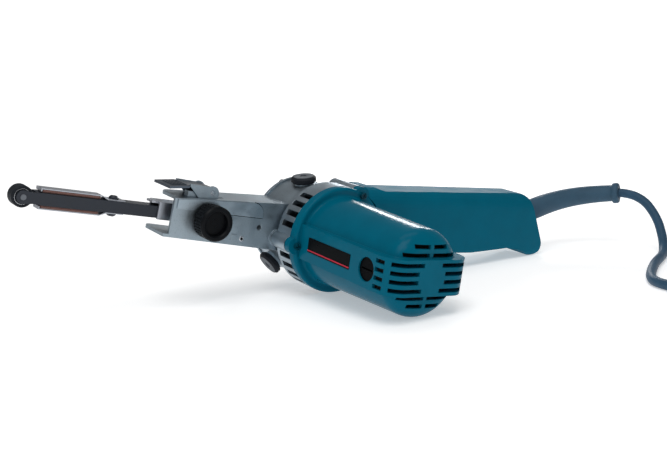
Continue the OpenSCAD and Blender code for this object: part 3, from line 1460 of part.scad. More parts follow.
module plug_pins() {
    color([0.8, 0.7, 0.45]) at_plug()
        for (s = [-1, 1]) {
            rod_x(plug_l - pin_seat + snug, plug_l + 2 * gap, pin_d - 2 * gap, s * pin_gap / 2, 0);
            rod_x(plug_l + gap, plug_l + pin_l, pin_d, s * pin_gap / 2, 0);
        }
}

motor_housing();
handle_shell();
handle_cover();
bearing_bracket();
head_frame();
head_panel();
belt_cover();
front_roller();
roller_pin();
arm_bar();
top_leaf();
bottom_leaf();
top_pad();
bottom_pad();
leaf_screws();
arm_carrier();
carrier_pin();
guide_rod();
tension_spring();
tracking_knob();
knob_screw();
release_lever();
lever_pin();
lever_ears();
lever_stop();
bumpers();
bumper_screws();
drive_pulley();
pulley_nut();
motor_shaft();
armature_core();
armature_windings();
commutator();
cooling_fan();
front_bearing();
rear_bearing();
field_core();
field_coils();
fan_baffle();
brush_holders();
carbon_brushes();
brush_caps();
housing_screws();
handle_screws();
cover_screws();
trigger();
switch_body();
cord_clamp();
cord_guard();
mains_cord();
cord_coil();
cord_tie();
mains_plug();
plug_pins();
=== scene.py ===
import json
import math
import bpy
import bmesh
from mathutils import Matrix, Vector
from mathutils.bvhtree import BVHTree


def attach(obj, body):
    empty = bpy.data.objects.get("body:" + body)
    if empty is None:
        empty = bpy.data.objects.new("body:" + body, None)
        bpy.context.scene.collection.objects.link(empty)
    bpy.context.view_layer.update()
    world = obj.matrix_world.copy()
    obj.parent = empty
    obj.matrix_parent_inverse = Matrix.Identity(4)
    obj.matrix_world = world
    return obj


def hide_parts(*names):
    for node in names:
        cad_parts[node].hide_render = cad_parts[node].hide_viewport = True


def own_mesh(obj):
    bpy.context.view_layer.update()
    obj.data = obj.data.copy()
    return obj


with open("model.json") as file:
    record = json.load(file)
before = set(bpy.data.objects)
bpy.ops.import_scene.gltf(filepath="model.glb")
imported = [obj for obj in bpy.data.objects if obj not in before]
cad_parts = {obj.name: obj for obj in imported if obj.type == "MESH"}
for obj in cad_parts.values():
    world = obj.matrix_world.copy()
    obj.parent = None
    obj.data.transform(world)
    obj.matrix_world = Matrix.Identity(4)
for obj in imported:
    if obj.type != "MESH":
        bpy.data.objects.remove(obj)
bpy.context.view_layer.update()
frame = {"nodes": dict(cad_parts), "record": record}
MM = 0.001

# Rest pose of the tool, as in the part's source
ROLL = math.radians(5.654)
PITCH = math.radians(7.273)
HEAD_TURN = math.radians(5.0)
ORIGIN = Vector((-38.4, 65.8, 45.705)) * MM
MOTOR_TURN = (Matrix.Rotation(ROLL, 3, "X") @ Matrix.Rotation(PITCH, 3, "Y")
              @ Matrix.Rotation(math.pi / 2, 3, "X"))
HEAD_AXES = MOTOR_TURN @ Matrix.Rotation(-HEAD_TURN, 3, "Z")


def at_motor(x, y, z):
    """A point of the motor's own frame, in mm, in the row frame, in metres."""
    return MOTOR_TURN @ (Vector((x, y, z)) * MM) + ORIGIN


def at_head(x, y, z):
    """A point of the head's own frame, in mm, in the row frame, in metres."""
    return HEAD_AXES @ (Vector((x, y, z)) * MM) + ORIGIN


# Camera
CAMERA_PLACE = Vector((-473.59, -598.70, 184.12)) * MM
CAMERA_RIGHT = Vector((0.81871, -0.57375, -0.02283))
CAMERA_DOWN = Vector((-0.11735, -0.12827, -0.98477))
CAMERA_AHEAD = Vector((0.56209, 0.80892, -0.17235))
FOCAL_MM = 53.973
SENSOR_MM = 36.0
CLIP_NEAR = 0.01
CLIP_FAR = 20.0


def make_camera():
    data = bpy.data.cameras.new("camera")
    data.sensor_fit = "HORIZONTAL"
    data.sensor_width = SENSOR_MM
    data.lens = FOCAL_MM
    data.clip_start = CLIP_NEAR
    data.clip_end = CLIP_FAR
    cam = bpy.data.objects.new("camera", data)
    bpy.context.scene.collection.objects.link(cam)
    turn = Matrix((CAMERA_RIGHT, -CAMERA_DOWN, -CAMERA_AHEAD)).transposed()
    cam.matrix_world = Matrix.Translation(CAMERA_PLACE) @ turn.to_4x4()
    bpy.context.scene.camera = cam


# Colours and materials
def srgb(r, g, b):
    """A colour of 0 to 255 as the shader's linear values."""
    def line(c):
        c /= 255.0
        return c / 12.92 if c <= 0.04045 else ((c + 0.055) / 1.055) ** 2.4
    return (line(r), line(g), line(b), 1.0)


def shade(colour, factor):
    """A colour made darker or lighter by a factor."""
    return tuple(min(1.0, c * factor) for c in colour[:3]) + (1.0,)


# Values that all surfaces share
SPECK_EDGE = 0.06
BEVEL_SAMPLES = 4
WORN_FROM = 0.72
WORN_TO = 0.97
WORN_PATCH_SCALE = 180.0
WORN_PATCH_LEAST = 0.25
WORN_PATCH_FROM = 0.35
WORN_PATCH_TO = 0.65
WAVE_DISTORTION = 0.6


class Surface:
    """A procedural material: colour drift, grain as bump, roughness drift and worn edges."""

    def __init__(self, name, colour, rough, metal=0.0):
        self.mat = bpy.data.materials.new(name)
        self.mat.use_nodes = True
        self.tree = self.mat.node_tree
        self.bsdf = self.tree.nodes["Principled BSDF"]
        self.place = self.add("ShaderNodeTexCoord").outputs["Object"]
        self.bsdf.inputs["Metallic"].default_value = metal
        self.colour = colour
        self.rough = rough
        self.normal = None

    def add(self, kind, **values):
        made = self.tree.nodes.new(kind)
        for key, value in values.items():
            setattr(made, key, value)
        return made

    def link(self, a, b):
        self.tree.links.new(a, b)

    def noise(self, scale, detail, stretch=None):
        tex = self.add("ShaderNodeTexNoise")
        tex.inputs["Scale"].default_value = scale
        tex.inputs["Detail"].default_value = detail
        self.link(self.laid(stretch), tex.inputs["Vector"])
        return tex.outputs["Fac"]

    def laid(self, stretch):
        """The place on the surface, drawn out along the head's or motor's axes."""
        if stretch is None:
            return self.place
        axes, factors = stretch
        turn = self.add("ShaderNodeMapping", vector_type="POINT")
        turn.inputs["Rotation"].default_value = axes.inverted().to_euler()
        drawn = self.add("ShaderNodeMapping", vector_type="POINT")
        drawn.inputs["Scale"].default_value = factors
        self.link(self.place, turn.inputs["Vector"])
        self.link(turn.outputs["Vector"], drawn.inputs["Vector"])
        return drawn.outputs["Vector"]

    def ranged(self, value, low, high, start=0.3, end=0.7):
        rng = self.add("ShaderNodeMapRange")
        rng.inputs["From Min"].default_value = start
        rng.inputs["From Max"].default_value = end
        rng.inputs["To Min"].default_value = low
        rng.inputs["To Max"].default_value = high
        self.link(value, rng.inputs["Value"])
        return rng.outputs["Result"]

    def blend(self, factor, a, b):
        """Colours or sockets a and b, mixed by a factor socket."""
        mix = self.add("ShaderNodeMix", data_type="RGBA")
        self.link(factor, mix.inputs["Factor"])
        for socket, value in ((mix.inputs[6], a), (mix.inputs[7], b)):
            if isinstance(value, tuple):
                socket.default_value = value
            else:
                self.link(value, socket)
        return mix.outputs[2]

    def drift(self, scale, tint, sway):
        """Slow change of colour by tint and of roughness by sway."""
        slow = self.noise(scale, detail=4.0)
        amount = self.ranged(slow, 0.0, 1.0)
        self.colour = self.blend(amount, shade(self.colour, 1.0 - tint), shade(self.colour, 1.0 + tint))
        self.link(self.ranged(slow, self.rough - sway, self.rough + sway), self.bsdf.inputs["Roughness"])
        return self

    def specks(self, scale, colour, share, strength):
        """Fine specks of another colour over a share of the surface."""
        grain = self.noise(scale, detail=2.0)
        mask = self.ranged(grain, 0.0, strength, 1.0 - share, 1.0 - share + SPECK_EDGE)
        self.colour = self.blend(mask, self.colour, colour)
        return self

    def worn(self, radius, colour, strength):
        """Edges rounded in the light and rubbed to another colour."""
        bevel = self.add("ShaderNodeBevel", samples=BEVEL_SAMPLES)
        bevel.inputs["Radius"].default_value = radius
        flat = self.add("ShaderNodeNewGeometry").outputs["Normal"]
        dot = self.add("ShaderNodeVectorMath", operation="DOT_PRODUCT")
        self.link(bevel.outputs["Normal"], dot.inputs[0])
        self.link(flat, dot.inputs[1])
        edge = self.ranged(dot.outputs["Value"], strength, 0.0, WORN_FROM, WORN_TO)
        patches = self.noise(WORN_PATCH_SCALE, detail=4.0)
        patchy = self.ranged(patches, WORN_PATCH_LEAST, 1.0, WORN_PATCH_FROM, WORN_PATCH_TO)
        both = self.add("ShaderNodeMath", operation="MULTIPLY")
        self.link(edge, both.inputs[0])
        self.link(patchy, both.inputs[1])
        self.colour = self.blend(both.outputs["Value"], self.colour, colour)
        self.normal = bevel.outputs["Normal"]
        return self

    def grain(self, scale, depth, detail=2.0, stretch=None):
        """Bump of a fine grain, its depth in metres."""
        self.bump(self.noise(scale, detail, stretch), depth)
        return self

    def waves(self, scale, depth, axes, direction):
        """Bump of fine parallel lines, as of turning, weaving or wound wire."""
        tex = self.add("ShaderNodeTexWave", wave_type="BANDS", bands_direction=direction)
        tex.inputs["Scale"].default_value = scale
        tex.inputs["Distortion"].default_value = WAVE_DISTORTION
        self.link(self.laid((axes, (1.0, 1.0, 1.0))), tex.inputs["Vector"])
        self.bump(tex.outputs["Fac"], depth)
        return self

    def bump(self, height, depth):
        """Bump by a height socket, on top of what bends the normal so far."""
        made = self.add("ShaderNodeBump")
        made.inputs["Strength"].default_value = 1.0
        made.inputs["Distance"].default_value = depth
        self.link(height, made.inputs["Height"])
        if self.normal is not None:
            self.link(self.normal, made.inputs["Normal"])
        self.normal = made.outputs["Normal"]

    def done(self, **sockets):
        """Links the colour and normal, sets other sockets by name and gives the material."""
        self.link(self.colour, self.bsdf.inputs["Base Color"])
        if self.normal is not None:
            self.link(self.normal, self.bsdf.inputs["Normal"])
        for key, value in sockets.items():
            self.bsdf.inputs[key.replace("_", " ")].default_value = value
        return self.mat


def moulded(name, colour, rough, edge=0.10, radius=0.0006, depth=0.00004, shine=0.12):
    """Moulded plastic: spark-eroded grain, light sheen drift and softly rubbed edges."""
    s = Surface(name, colour, rough).drift(scale=60.0, tint=0.05, sway=0.04)
    s.worn(radius, shade(colour, 1.9), edge)
    return s.grain(scale=1500.0, depth=depth).done(Specular_IOR_Level=shine)


def cast_metal(name, colour):
    """Cast alloy: dull specks, a pitted grain and bright edges."""
    s = Surface(name, colour, rough=0.42, metal=1.0).drift(scale=90.0, tint=0.09, sway=0.07)
    s.specks(scale=1100.0, colour=shade(colour, 0.72), share=0.40, strength=0.5)
    s.worn(radius=0.0005, colour=shade(colour, 1.35), strength=0.8)
    return s.grain(scale=800.0, depth=0.00007, detail=3.0).done()


def machined(name, colour, rough, metal=1.0):
    """Ground or turned metal: a fine grain drawn out along the arm, and bright edges."""
    s = Surface(name, colour, rough, metal).drift(scale=150.0, tint=0.08, sway=0.05)
    s.worn(radius=0.0003, colour=shade(colour, 1.5), strength=0.7)
    return s.grain(scale=1400.0, depth=0.000004, stretch=(HEAD_AXES, (0.12, 1.0, 1.0))).done()


def rubber(name, colour, rough):
    """Rubber: dusty specks, a fine grain and little shine."""
    s = Surface(name, colour, rough).drift(scale=70.0, tint=0.10, sway=0.07)
    s.specks(scale=900.0, colour=shade(colour, 1.6), share=0.36, strength=0.25)
    s.worn(radius=0.0006, colour=shade(colour, 1.4), strength=0.3)
    return s.grain(scale=1300.0, depth=0.00003).done(Specular_IOR_Level=0.15)


def woven(name, colour, axes, pitch, sheen=0.3):
    """Woven cloth, also the weave of the painted vent shade: lines both ways along its axes."""
    s = Surface(name, colour, rough=0.9).drift(scale=200.0, tint=0.12, sway=0.05)
    for direction in ("X", "Y"):
        s.waves(pitch, depth=0.0001, axes=axes, direction=direction)
    return s.done(Sheen_Weight=sheen)


def felt(name, colour):
    """Pressed felt: dark fibres drawn out along the arm."""
    s = Surface(name, colour, rough=0.85).drift(scale=260.0, tint=0.14, sway=0.06)
    s.specks(scale=1500.0, colour=shade(colour, 0.45), share=0.42, strength=0.7)
    s.grain(scale=1800.0, depth=0.00012, detail=4.0, stretch=(HEAD_AXES, (0.25, 1.0, 1.0)))
    return s.done(Sheen_Weight=0.25)


def wound(name, colour):
    """Wound wire: fine lines across the motor."""
    s = Surface(name, colour, rough=0.32, metal=0.9).drift(scale=120.0, tint=0.15, sway=0.06)
    return s.waves(scale=420.0, depth=0.0002, axes=MOTOR_TURN, direction="X").done()


def stacked(name, colour):
    """Stacked sheet iron: fine lines along the motor."""
    s = Surface(name, colour, rough=0.5, metal=0.9).drift(scale=150.0, tint=0.12, sway=0.06)
    return s.waves(scale=320.0, depth=0.00015, axes=MOTOR_TURN, direction="Z").done()


TEAL = srgb(0, 97, 121)
ALLOY = srgb(158, 171, 180)
RUBBER = srgb(54, 84, 108)
LOOKS = {
    "teal": lambda: moulded("teal_plastic", TEAL, rough=0.2, edge=0.08, depth=0.00001, shine=0.05),
    "handle_teal": lambda: moulded("handle_plastic", TEAL, rough=0.5, edge=0.08, depth=0.00002, shine=0.05),
    "cast_alloy": lambda: cast_metal("cast_alloy", ALLOY),
    # A lighter copy of the cast alloy for the head's cover panel: painted light, as the upper wall catches
    # more light from above
    "lit_panel_alloy": lambda: cast_metal("lit_panel_alloy", srgb(168, 182, 192)),
    "steel": lambda: machined("bright_steel", srgb(196, 199, 204), rough=0.25),
    "arm_steel": lambda: machined("dark_steel", srgb(32, 38, 48), rough=0.4, metal=0.3),
    "spring_steel": lambda: machined("spring_steel", srgb(176, 180, 188), rough=0.38),
    "lever_steel": lambda: machined("lever_steel", srgb(92, 101, 112), rough=0.36),
    "dim_steel": lambda: machined("dim_steel", srgb(104, 108, 114), rough=0.4),
    "brass": lambda: machined("brass", srgb(214, 182, 112), rough=0.25),
    "pad": lambda: felt("pad_felt", srgb(116, 82, 75)),
    "knob_black": lambda: moulded("black_plastic", srgb(9, 12, 16), rough=0.42, edge=0.3, radius=0.0004),
    "cap_black": lambda: moulded("cap_plastic", srgb(4, 6, 9), rough=0.4, edge=0.3, radius=0.0003,
                                 shine=0.04),
    "carbon": lambda: moulded("carbon", srgb(34, 34, 35), rough=0.6),
    "rubber_black": lambda: rubber("black_rubber", srgb(30, 34, 40), rough=0.6),
    "dusty_rubber": lambda: rubber("dusty_rubber", srgb(104, 109, 114), rough=0.7),
    "cord_rubber": lambda: rubber("cord_rubber", RUBBER, rough=0.5),
    "guard": lambda: rubber("guard_rubber", srgb(62, 90, 110), rough=0.58),
    "core_iron": lambda: stacked("core_iron", srgb(120, 120, 122)),
    "copper": lambda: wound("copper_wire", srgb(190, 110, 70)),
    "tie_velvet": lambda: woven("tie_weave", srgb(34, 35, 38), Matrix.Identity(3), pitch=260.0),
    # Near black, painted as the shade inside the motor's vent slots
    "vent_shade": lambda: woven("painted_vent_shade", srgb(5, 6, 8), MOTOR_TURN, pitch=900.0, sheen=0.0),
    "label": lambda: moulded("label_plate", srgb(5, 8, 11), rough=0.3, edge=0.2, radius=0.0003,
                             depth=0.00001, shine=0.04),
    "red_line": lambda: moulded("label_line", srgb(196, 44, 66), rough=0.4, edge=0.1, radius=0.0002,
                                depth=0.00001),
    # Dark teal on the housing screws: painted shade of the recesses that they sit in
    "screw_recess_shade": lambda: moulded("screw_recess_shade", srgb(2, 66, 82), rough=0.35, edge=0.3, radius=0.0003),
    # Near black: painted shade inside the wall's small hole and under the cover panel's edge
    "painted_shade": lambda: moulded("hole_shade", srgb(14, 15, 17), rough=0.7, edge=0.1),
}
made_looks = {}


def look(name):
    """A material, made the first time that it is asked for."""
    if name not in made_looks:
        made_looks[name] = LOOKS[name]()
    return made_looks[name]


# knob_screw takes the knob's black as painted shade of the knob's recess
NODE_LOOKS = {"release_lever": "lever_steel", "roller_pin": "dim_steel", "knob_screw": "knob_black",
              "housing_screws": "screw_recess_shade", "handle_shell": "handle_teal", "handle_cover": "handle_teal",
              "brush_caps": "cap_black", "head_panel": "lit_panel_alloy"}


def dress_nodes():
    """Every CAD node takes the look of its record's slot, or one of its own."""
    slots = {part["node"]: part["material_slot"] for part in frame["record"]["subparts"]}
    for name, node in frame["nodes"].items():
        node.data.materials.clear()
        node.data.materials.append(look(NODE_LOOKS.get(name, slots[name])))


# Pieces
def piece(name, mesh, slot, body="tool", material=None):
    """A piece of the scene on a body, with its slot's look or one of its own."""
    obj = bpy.data.objects.new(name, mesh)
    bpy.context.scene.collection.objects.link(obj)
    mesh.materials.append(look(material or slot))
    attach(obj, body)
    return obj


def mesh_of(bm, name, smooth=True):
    """A mesh of what was built, its faces turned outwards."""
    bmesh.ops.recalc_face_normals(bm, faces=bm.faces)
    mesh = bpy.data.meshes.new(name)
    bm.to_mesh(mesh)
    bm.free()
    for face in mesh.polygons:
        face.use_smooth = smooth
    return mesh


def rings_mesh(name, rings, loop=False, smooth=True):
    """A skin over rings of points, closed by caps or into a loop."""
    bm = bmesh.new()
    rows = [[bm.verts.new(p) for p in ring] for ring in rings]
    n = len(rows[0])
    last = len(rows) if loop else len(rows) - 1
    for i in range(last):
        a, b = rows[i], rows[(i + 1) % len(rows)]
        for j in range(n):
            bm.faces.new((a[j], a[(j + 1) % n], b[(j + 1) % n], b[j]))
    if not loop:
        bm.faces.new(rows[0])
        bm.faces.new(rows[-1])
    return mesh_of(bm, name, smooth)


# Mains cord: its route in millimetres, as in the part's source
GUARD_START = Vector((206.0, 16.9, 26.0))
GUARD_RISE = math.radians(18.0)
GUARD_WAY = Vector((math.cos(GUARD_RISE), math.sin(GUARD_RISE), 0.0))
GUARD_MOUTH_L = 34.0
GUARD_LEAD_L = 30.0
GUARD_DROOP = Vector((289.0, 43.0, 37.0))
GUARD_END = Vector((302.0, 49.0, 62.0))
FREE_ROUTE = [
    (269, 0, 50), (273, -10.5, 48), (275, -20.5, 43), (275, -29, 35.5), (273.5, -36.5, 27),
    (270, -43, 18.5), (264.5, -49.5, 11), (256.5, -56, 6), (247, -62, 4.2), (232, -70, 4.2),
    (215, -79, 4.2), (199, -89, 4.2), (184, -99, 4.2), (171, -109, 4.2), (161.5, -119.5, 4.2),
    (157, -131.5, 4.2), (157, -144.5, 4.2), (161.5, -157, 4.2), (169, -166.5, 4.4),
    (180, -179, 4.8), (192, -192.5, 5.2)]
ROUTE_STEPS = 6
CORD_D = 8.0
CORD_ROUNDNESS = 5
COIL_PLACE = (255.0, -165.0)
COIL_TURNS = 3.375
COIL_R = 65.0
COIL_PITCH = 9.7
COIL_INNER_R = COIL_R - COIL_PITCH * COIL_TURNS
COIL_LAYER = 360.0 * COIL_TURNS
COIL_CLIMB = 180.0
COIL_START = 225.0
COIL_Z = 5.2
COIL_RISE = 8.8
COIL_STEP = 7.5
PLUG_LEAD = 34.0
TIE_T = 0.8
TIE_GAP = 0.4
TIE_W = 10.0
TIE_CORNER_R = 3.0
TIE_CORNER_STEPS = 6
TIE_EDGE = 0.4
TIE_EDGE_SHARE = 0.9


def coil_at(angle):
    """The coil's middle line: inwards on the floor, up in half a turn, outwards on top."""
    r, z = COIL_INNER_R, COIL_Z + COIL_RISE
    climbed = angle - COIL_LAYER
    if climbed < 0.0:
        r, z = COIL_R - COIL_PITCH * angle / 360.0, COIL_Z
    elif climbed < COIL_CLIMB:
        z = COIL_Z + COIL_RISE * climbed / COIL_CLIMB
    else:
        r = COIL_INNER_R + COIL_PITCH * (climbed - COIL_CLIMB) / 360.0
    a = math.radians(COIL_START + angle)
    return Vector((COIL_PLACE[0] + r * math.cos(a), COIL_PLACE[1] + r * math.sin(a), z))


def coil_heading(angle):
    """The way that the cord runs at an angle of its coil."""
    a = math.radians(COIL_START + angle)
    return Vector((-math.sin(a), math.cos(a), 0.0))


def smooth_line(points, steps):
    """A Catmull-Rom curve through points, its knots spaced by the root of their distance."""
    pts = [2 * points[0] - points[1]] + list(points) + [2 * points[-1] - points[-2]]
    line = []
    for i in range(1, len(pts) - 2):
        p = pts[i - 1:i + 3]
        t = [0.0]
        for a, b in zip(p, p[1:]):
            t.append(t[-1] + math.sqrt((b - a).length))
        for k in range(steps):
            u = t[1] + (t[2] - t[1]) * k / steps
            a1, a2, a3 = (p[j].lerp(p[j + 1], (u - t[j]) / (t[j + 1] - t[j])) for j in range(3))
            b1 = a1.lerp(a2, (u - t[0]) / (t[2] - t[0]))
            b2 = a2.lerp(a3, (u - t[1]) / (t[3] - t[1]))
            line.append(b1.lerp(b2, (u - t[1]) / (t[2] - t[1])))
    return line + [pts[-2]]


def cord_line():
    """The cord's middle line from the guard's mouth to the plug, in metres."""
    total = 2 * COIL_LAYER + COIL_CLIMB
    count = round(total / COIL_STEP)
    coil = [coil_at(total * i / count) for i in range(count + 1)]
    free = [at_motor(*GUARD_END) / MM] + [Vector(p) for p in FREE_ROUTE]
    free.append(coil[0] - CORD_D * coil_heading(0.0))
    line = smooth_line(free + coil[:1], ROUTE_STEPS)[:-1] + coil
    line.append(coil[-1] + PLUG_LEAD * coil_heading(total))
    return [p * MM for p in line]


def make_cord():
    """The mains cord as one round tube, from the guard's mouth through the coil to the plug."""
    line = cord_line()
    curve = bpy.data.curves.new("power_cord", "CURVE")
    curve.dimensions = "3D"
    curve.bevel_depth = CORD_D / 2 * MM
    curve.bevel_resolution = CORD_ROUNDNESS
    curve.use_fill_caps = True
    spline = curve.splines.new("POLY")
    spline.points.add(len(line) - 1)
    for point, place in zip(spline.points, line):
        point.co = (*place, 1.0)
        point.radius = 1.0
    spline.use_smooth = True
    obj = bpy.data.objects.new("power_cord", curve)
    bpy.context.scene.collection.objects.link(obj)
    curve.materials.append(look("cord_rubber"))
    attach(obj, "tool")
    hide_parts("mains_cord", "cord_coil")


GUARD_BASE_R = 9.5
GUARD_TIP_R = 7.4
GUARD_COLLAR_R = 9.5
GUARD_SIDES = 40
GUARD_RINGS = 30
GUARD_RIM_STEPS = 8
GUARD_LIP = 0.6
GUARD_NUDGE = 0.01
COLLAR_SHARE = 0.93
CORD_HOLE_R = 4.4


def guard_bend(t):
    """The guard's middle line past the handle, a cubic curve from 0 to 1."""
    mouth = GUARD_START + GUARD_MOUTH_L * GUARD_WAY
    lead = mouth + GUARD_LEAD_L * GUARD_WAY
    s = 1.0 - t
    return s ** 3 * mouth + 3 * t * s * s * lead + 3 * t * t * s * GUARD_DROOP + t ** 3 * GUARD_END


def ring_at(centre, along, radius, sides, up=Vector((0.0, 0.0, 1.0))):
    """A ring of points round a line."""
    side = along.cross(up).normalized()
    over = side.cross(along).normalized()
    turn = [2 * math.pi * i / sides for i in range(sides)]
    return [centre + radius * (math.cos(a) * side + math.sin(a) * over) for a in turn]


def guard_profile():
    """Steps along the bend with the guard's radius, its rounded collar last."""
    shares = [COLLAR_SHARE * i / GUARD_RINGS for i in range(GUARD_RINGS + 1)]
    taper = [(t, GUARD_BASE_R + (GUARD_TIP_R - GUARD_BASE_R) * t) for t in shares]
    neck_r = taper[-1][1]
    collar = []
    for i in range(1, GUARD_RIM_STEPS):
        a = math.pi * i / GUARD_RIM_STEPS
        share = COLLAR_SHARE + (1.0 - COLLAR_SHARE) * (1 - math.cos(a)) / 2
        collar.append((share, neck_r + (GUARD_COLLAR_R - neck_r) * math.sin(a) ** 0.5))
    mouth = [(1.0, neck_r - GUARD_LIP), (1.0, CORD_HOLE_R), (COLLAR_SHARE, CORD_HOLE_R)]
    return taper + collar + mouth


def make_guard():
    """The cord guard: a smooth bent sleeve with a rounded collar at its mouth."""
    rings = [ring_at(GUARD_START, GUARD_WAY, GUARD_BASE_R, GUARD_SIDES)]
    for t, radius in guard_profile():
        along = (guard_bend(min(t + GUARD_NUDGE, 1.0)) - guard_bend(t - GUARD_NUDGE)).normalized()
        rings.append(ring_at(guard_bend(t), along, radius, GUARD_SIDES))
    rings = [[at_motor(*p) for p in ring] for ring in rings]
    obj = piece("guard_sleeve", rings_mesh("guard_sleeve", rings), "rubber_black", material="guard")
    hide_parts("cord_guard")


def tie_path():
    """Points round the coil's cross-section with the way outwards, its corners rounded."""
    near, far = COIL_INNER_R - CORD_D / 2 - TIE_GAP, COIL_R + CORD_D / 2 + TIE_GAP
    top = COIL_Z + COIL_RISE + CORD_D / 2 + TIE_GAP
    r = TIE_CORNER_R
    corners = ((near + r, TIE_T + r, 180), (far - r, TIE_T + r, 270),
               (far - r, top - r, 0), (near + r, top - r, 90))
    path = []
    for x, z, start in corners:
        for i in range(TIE_CORNER_STEPS + 1):
            a = math.radians(start + 90.0 * i / TIE_CORNER_STEPS)
            path.append((x + r * math.cos(a), z + r * math.sin(a), math.cos(a), math.sin(a)))
    return path


def tie_ring(point):
    """The strap's cross-section at a point of its path."""
    r, z, nr, nz = point
    half, edge = TIE_W / 2, TIE_T * TIE_EDGE_SHARE
    corners = ((0.0, -half), (0.0, half), (edge, half), (TIE_T, half - TIE_EDGE),
               (TIE_T, TIE_EDGE - half), (edge, -half))
    return [Vector((COIL_PLACE[0] + w, COIL_PLACE[1] - r - nr * d, z + nz * d)) * MM for d, w in corners]


def make_tie():
    """A woven strap round the coil."""
    rings = [tie_ring(point) for point in tie_path()]
    obj = piece("tie_strap", rings_mesh("tie_strap", rings, loop=True), "tie_velvet")
    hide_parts("cord_tie")


# Spring, pads and small trim of the head
SPRING_FRONT_X = -71.6
SPRING_REAR_X = -51.5
SPRING_R = 5.2
WIRE_R = 0.8
WIRE_SIDES = 12
SPRING_TURNS = 5
SPRING_TURN_STEPS = 28


def make_spring():
    """The arm's spring, wound round its rod."""
    steps = SPRING_TURN_STEPS * SPRING_TURNS
    front, length = SPRING_FRONT_X + WIRE_R, SPRING_REAR_X - SPRING_FRONT_X - 2 * WIRE_R
    climb = length / (2 * math.pi * SPRING_TURNS)
    rings = []
    for i in range(steps + 1):
        a = 2 * math.pi * SPRING_TURNS * i / steps
        y, z = SPRING_R * math.cos(a), SPRING_R * math.sin(a)
        along = Vector((climb, -z, y)).normalized()
        centre = Vector((front + length * i / steps, y, z))
        ring = ring_at(centre, along, WIRE_R, WIRE_SIDES, Vector((1.0, 0.0, 0.0)))
        rings.append([at_head(*p) for p in ring])
    obj = piece("arm_spring", rings_mesh("arm_spring", rings), "spring_steel")
    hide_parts("tension_spring")
    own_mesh(obj)


PAD_FRONT_X = -221.9
PAD_REAR_X = -180.7
PAD_Y = 4.3
PAD_T = 2.1
PAD_HALF_W = 5.2
PAD_CORNER_R = 0.5
PAD_SWELL = 0.22
PAD_RINGS = 40
PAD_END_PINCH = {0: 0.35, 1: 0.12}
PAD_WAVER = 0.05
PAD_WAVER_RATE = 1.7


def pad_section(pinch):
    """A pad's cross-section as pairs of y and z, drawn in by pinch."""
    w, r, swell = PAD_HALF_W - pinch, PAD_CORNER_R, PAD_SWELL - pinch / 2
    low, high = PAD_Y, PAD_Y + PAD_T
    near = [(low, w - r), (low + r / 2, w - r / 3), (low + PAD_T / 2, w + swell),
            (high - r / 2, w - r / 3), (high, w - r)]
    far = [(y, -z) for y, z in reversed(near)]
    return [far[-1]] + near + far[:-1]


def make_pads():
    """Felt pads under the leaves, with softly swollen sides and worn corners."""
    for name, side in (("top", 1.0), ("bottom", -1.0)):
        rings = []
        for i in range(PAD_RINGS + 1):
            x = PAD_FRONT_X + (PAD_REAR_X - PAD_FRONT_X) * i / PAD_RINGS
            end = min(i, PAD_RINGS - i)
            pinch = PAD_END_PINCH.get(end, 0.0) + PAD_WAVER * math.sin(PAD_WAVER_RATE * i)
            rings.append([at_head(x, side * y, z) for y, z in pad_section(pinch)])
        obj = piece(name + "_felt", rings_mesh(name + "_felt", rings), "pad", "arm")
        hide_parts(name + "_pad")


def solid_of(node):
    """A CAD node's surface, to throw points onto."""
    obj = frame["nodes"][node]
    verts = [obj.matrix_world @ v.co for v in obj.data.vertices]
    return BVHTree.FromPolygons(verts, [tuple(p.vertices) for p in obj.data.polygons])


def laid_patch(name, tree, grid, ahead, lift, thick, slot, material):
    """A thin plate over a surface: grid rows of points are thrown onto it along ahead."""
    bm = bmesh.new()
    tops, feet = [], []
    for row in grid:
        top, foot = [], []
        for start in row:
            hit, normal, _, _ = tree.ray_cast(start, ahead)
            out = normal if normal.dot(ahead) < 0 else -normal
            top.append(bm.verts.new(hit + out * lift))
            foot.append(bm.verts.new(hit + out * (lift - thick)))
        tops.append(top)
        feet.append(foot)
    rows, cols = len(tops), len(tops[0])
    for i in range(rows - 1):
        for j in range(cols - 1):
            bm.faces.new((tops[i][j], tops[i][j + 1], tops[i + 1][j + 1], tops[i + 1][j]))
            bm.faces.new((feet[i][j], feet[i + 1][j], feet[i + 1][j + 1], feet[i][j + 1]))
    rim = [(0, j) for j in range(cols)] + [(i, cols - 1) for i in range(1, rows)]
    rim += [(rows - 1, j) for j in range(cols - 2, -1, -1)] + [(i, 0) for i in range(rows - 2, 0, -1)]
    for (i, j), (k, m) in zip(rim, rim[1:] + rim[:1]):
        bm.faces.new((tops[i][j], feet[i][j], feet[k][m], tops[k][m]))
    piece(name, mesh_of(bm, name, smooth=False), slot, material=material)


LABEL_M = (57.0, 109.0)
LABEL_HALF_H = 5.5
LABEL_LIFT = 0.3
LABEL_T = 0.4
LABEL_COLS = 26
LABEL_ROWS = 8
LABEL_AWAY_X = -60.0
LINE_Y = (-4.5, -3.6)
LINE_LIFT = 0.38
LINE_T = 0.3
LINE_ROWS = 2


def label_grid(y0, y1, rows):
    """Rows of points beside the motor, from which the label is thrown onto it."""
    m0, m1 = LABEL_M
    along = [m0 + (m1 - m0) * j / LABEL_COLS for j in range(LABEL_COLS + 1)]
    return [[at_motor(LABEL_AWAY_X, y0 + (y1 - y0) * i / rows, m) for m in along] for i in range(rows + 1)]


def make_label():
    """A bare dark plate on the motor's side band, with one red line."""
    tree = solid_of("motor_housing")
    ahead = MOTOR_TURN @ Vector((1.0, 0.0, 0.0))
    plate = label_grid(-LABEL_HALF_H, LABEL_HALF_H, LABEL_ROWS)
    laid_patch("label_plate", tree, plate, ahead, LABEL_LIFT * MM, LABEL_T * MM, "knob_black", "label")
    line = label_grid(*LINE_Y, LINE_ROWS)
    laid_patch("label_line", tree, line, ahead, LINE_LIFT * MM, LINE_T * MM, "knob_black", "red_line")


